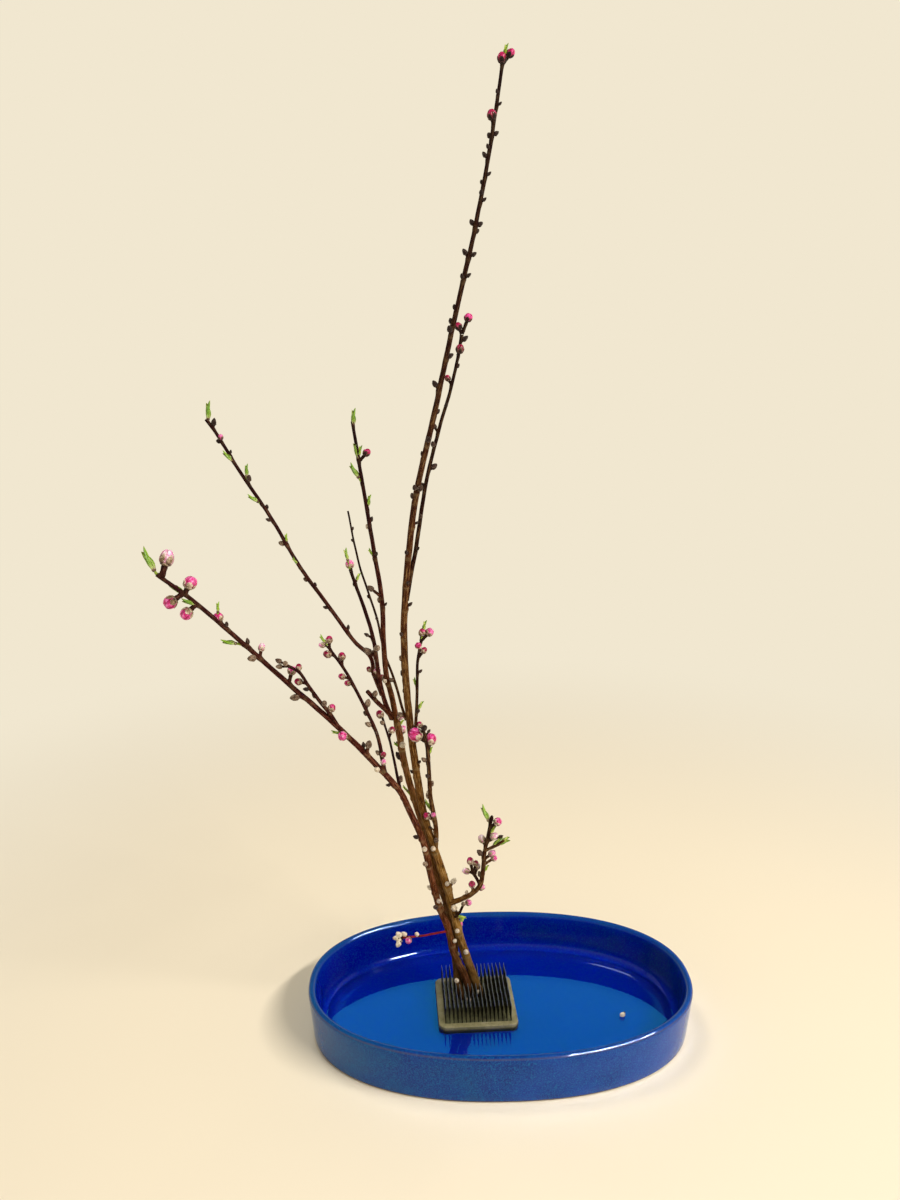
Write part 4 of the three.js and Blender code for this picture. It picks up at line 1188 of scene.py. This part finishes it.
def pale_floor():
    # A sheet of warm white board under the bowl, matt, that passes into the colour of its surroundings far off
    made, node, mm = blank("floor_board_matt")
    shade = layers(node, "#ece2cb", (node("TexNoise", mm, 0.0015, 3), "#f1e8d4"))
    away = node("VectorMath", mm, operation="LENGTH")
    far = node("MapRange", away, *FLOOR_FADE, interpolation_type="SMOOTHSTEP")
    board = node("BsdfPrincipled", shade, Roughness=0.75)
    node("OutputMaterial", node("MixShader", far, board, node("Emission", HAZE_COLOUR)))
    return made


def dress(piece, materials, nodes):
    """Gives a piece its finish, hangs it on the root body and hides the CAD nodes that it stands in for."""
    piece.data.materials.clear()
    for material in materials:
        piece.data.materials.append(material)
    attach(piece, "root")
    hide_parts(*nodes)


# Bowl, water and pin holder
bowl = make_bowl()
dress(bowl, [cobalt_glaze()], ["bowl"])
water = oval_shell("still_water", WATER_PROFILE)
dress(water, [clear_water()], ["water"])
branches = {name: [Shoot(*row) for row in rows] for name, rows in BRANCHES.items()}
plate, field = make_plate()
lead = oxidised_lead("lead_border_oxidised", "#a09a78", "#7d7a55", 0.3)
# The field between the pins is painted darker than the border: painted shade under the rows of pins
shaded_field_lead = oxidised_lead("lead_field_painted_shade", "#7e7f5c", "#4c4d3a", 0.22)
dress(plate, [lead, shaded_field_lead], ["pin_holder"])
for index in field:
    plate.data.polygons[index].material_index = 1
pins = make_pins([shoots[0] for shoots in branches.values()])
dress(pins, [tarnished_brass()], ["pin_holder"])

# Branches. Young bark on the tall one is brown, and maroon on the other two.
BARK_REDNESS = {"tall_branch": 0.15, "middle_branch": 0.85, "left_branch": 0.9}
petals, scales = bud_templates()
blade = blade_template()
bark, petal, downy, leaf = peach_bark(), peach_petals(), downy_scales(), young_leaf()
for name, shoots in branches.items():
    finishes = ((bark, "bark"), (petal, "petal"), (downy, "bud_scale"), (leaf, "leaf"))
    pieces = grow(name, shoots, BARK_REDNESS[name], petals, scales, blade)
    for piece, (material, slot) in zip(pieces, finishes):
        dress(piece, [material], [name])
dress(make_husk(), [downy], ["fallen_bud_scale"])
for form in (*petals.values(), *scales.values(), blade):
    bpy.data.objects.remove(form)

# Camera, where the photograph was taken from
camera = show("camera", bpy.data.cameras.new("camera"))
camera.data.sensor_width = 36
camera.data.lens = 30.3
camera.data.clip_start = 0.05
camera.location = Vector((-73.35, -802.02, 620.07)) * MM
camera.rotation_euler = (math.radians(90 - 15.0726), 0, -0.034)
bpy.context.scene.camera = camera

# Floor, a hair below the bowl's foot
bpy.ops.mesh.primitive_circle_add(vertices=96, radius=14, fill_type="NGON", location=(0, 0, -0.0002))
floor = bpy.context.object
floor.name = "floor"
settle(floor)
floor.data.materials.append(pale_floor())

# Surroundings: warm white low down all round, and less light from above
world = bpy.data.worlds.new("surroundings")
world.use_nodes = True
world.node_tree.nodes.clear()
node = functools.partial(add, world.node_tree)
up = node("SeparateXYZ", node("TexCoord", output="Generated"), output="Z")
light = node("ValToRGB", up, (0, HAZE_COLOUR), (0.3, HAZE_COLOUR), (0.45, "#7c776d"), (1, "#5e5a53"))
node("OutputWorld", node("Background", light))
bpy.context.scene.world = world
bpy.context.scene.view_settings.view_transform = "Standard"
LIGHT_AIM = (0, 0, 0.25)


def softbox(name, place, width, height, watts, colour, gloss=None):
    """A soft light that looks at the middle of the arrangement, or one that only shows in a piece's gloss.
    A square one only fills shadows, and makes no glare. Lengths are in metres."""
    lamp = bpy.data.lights.new(name, "AREA")
    lamp.shape = "RECTANGLE"
    lamp.size = width
    lamp.size_y = height
    lamp.energy = watts
    lamp.color = linear(colour)[:3]
    holder = show(name, lamp)
    holder.location = place
    aim = Vector(LIGHT_AIM) - Vector(place)
    holder.rotation_euler = aim.to_track_quat("-Z", "Y").to_euler()
    holder.visible_glossy = width != height
    if gloss:
        holder.visible_diffuse = False
        holder.light_linking.receiver_collection = bpy.data.collections.new(name)
        holder.light_linking.receiver_collection.objects.link(gloss)


# A narrow light gives the shadows, two more only the white streaks in the glaze, and a blue sheet behind only
# what the water mirrors
softbox("key_right", (1.6, -1.2, 2.12), 1.7, 0.14, 76, "#fff6ea")
softbox("streaks_high", (1.2, -0.88, 1.5), 1.5, 0.08, 550, "#ffffff", bowl)
softbox("streaks_low", (1.0, -1.66, 0.85), 0.7, 0.07, 60, "#ffffff", bowl)
softbox("water_veil", (0.2, 2.0, 1.5), 2.2, 1.3, 15, "#00c8ff", water)
softbox("fill_left", (-1.3, -1.2, 1.1), 1.2, 1.2, 3, "#f3f6ff")
softbox("overhead", (-0.5, 0.3, 2.0), 0.6, 0.6, 13, "#fffaf0")
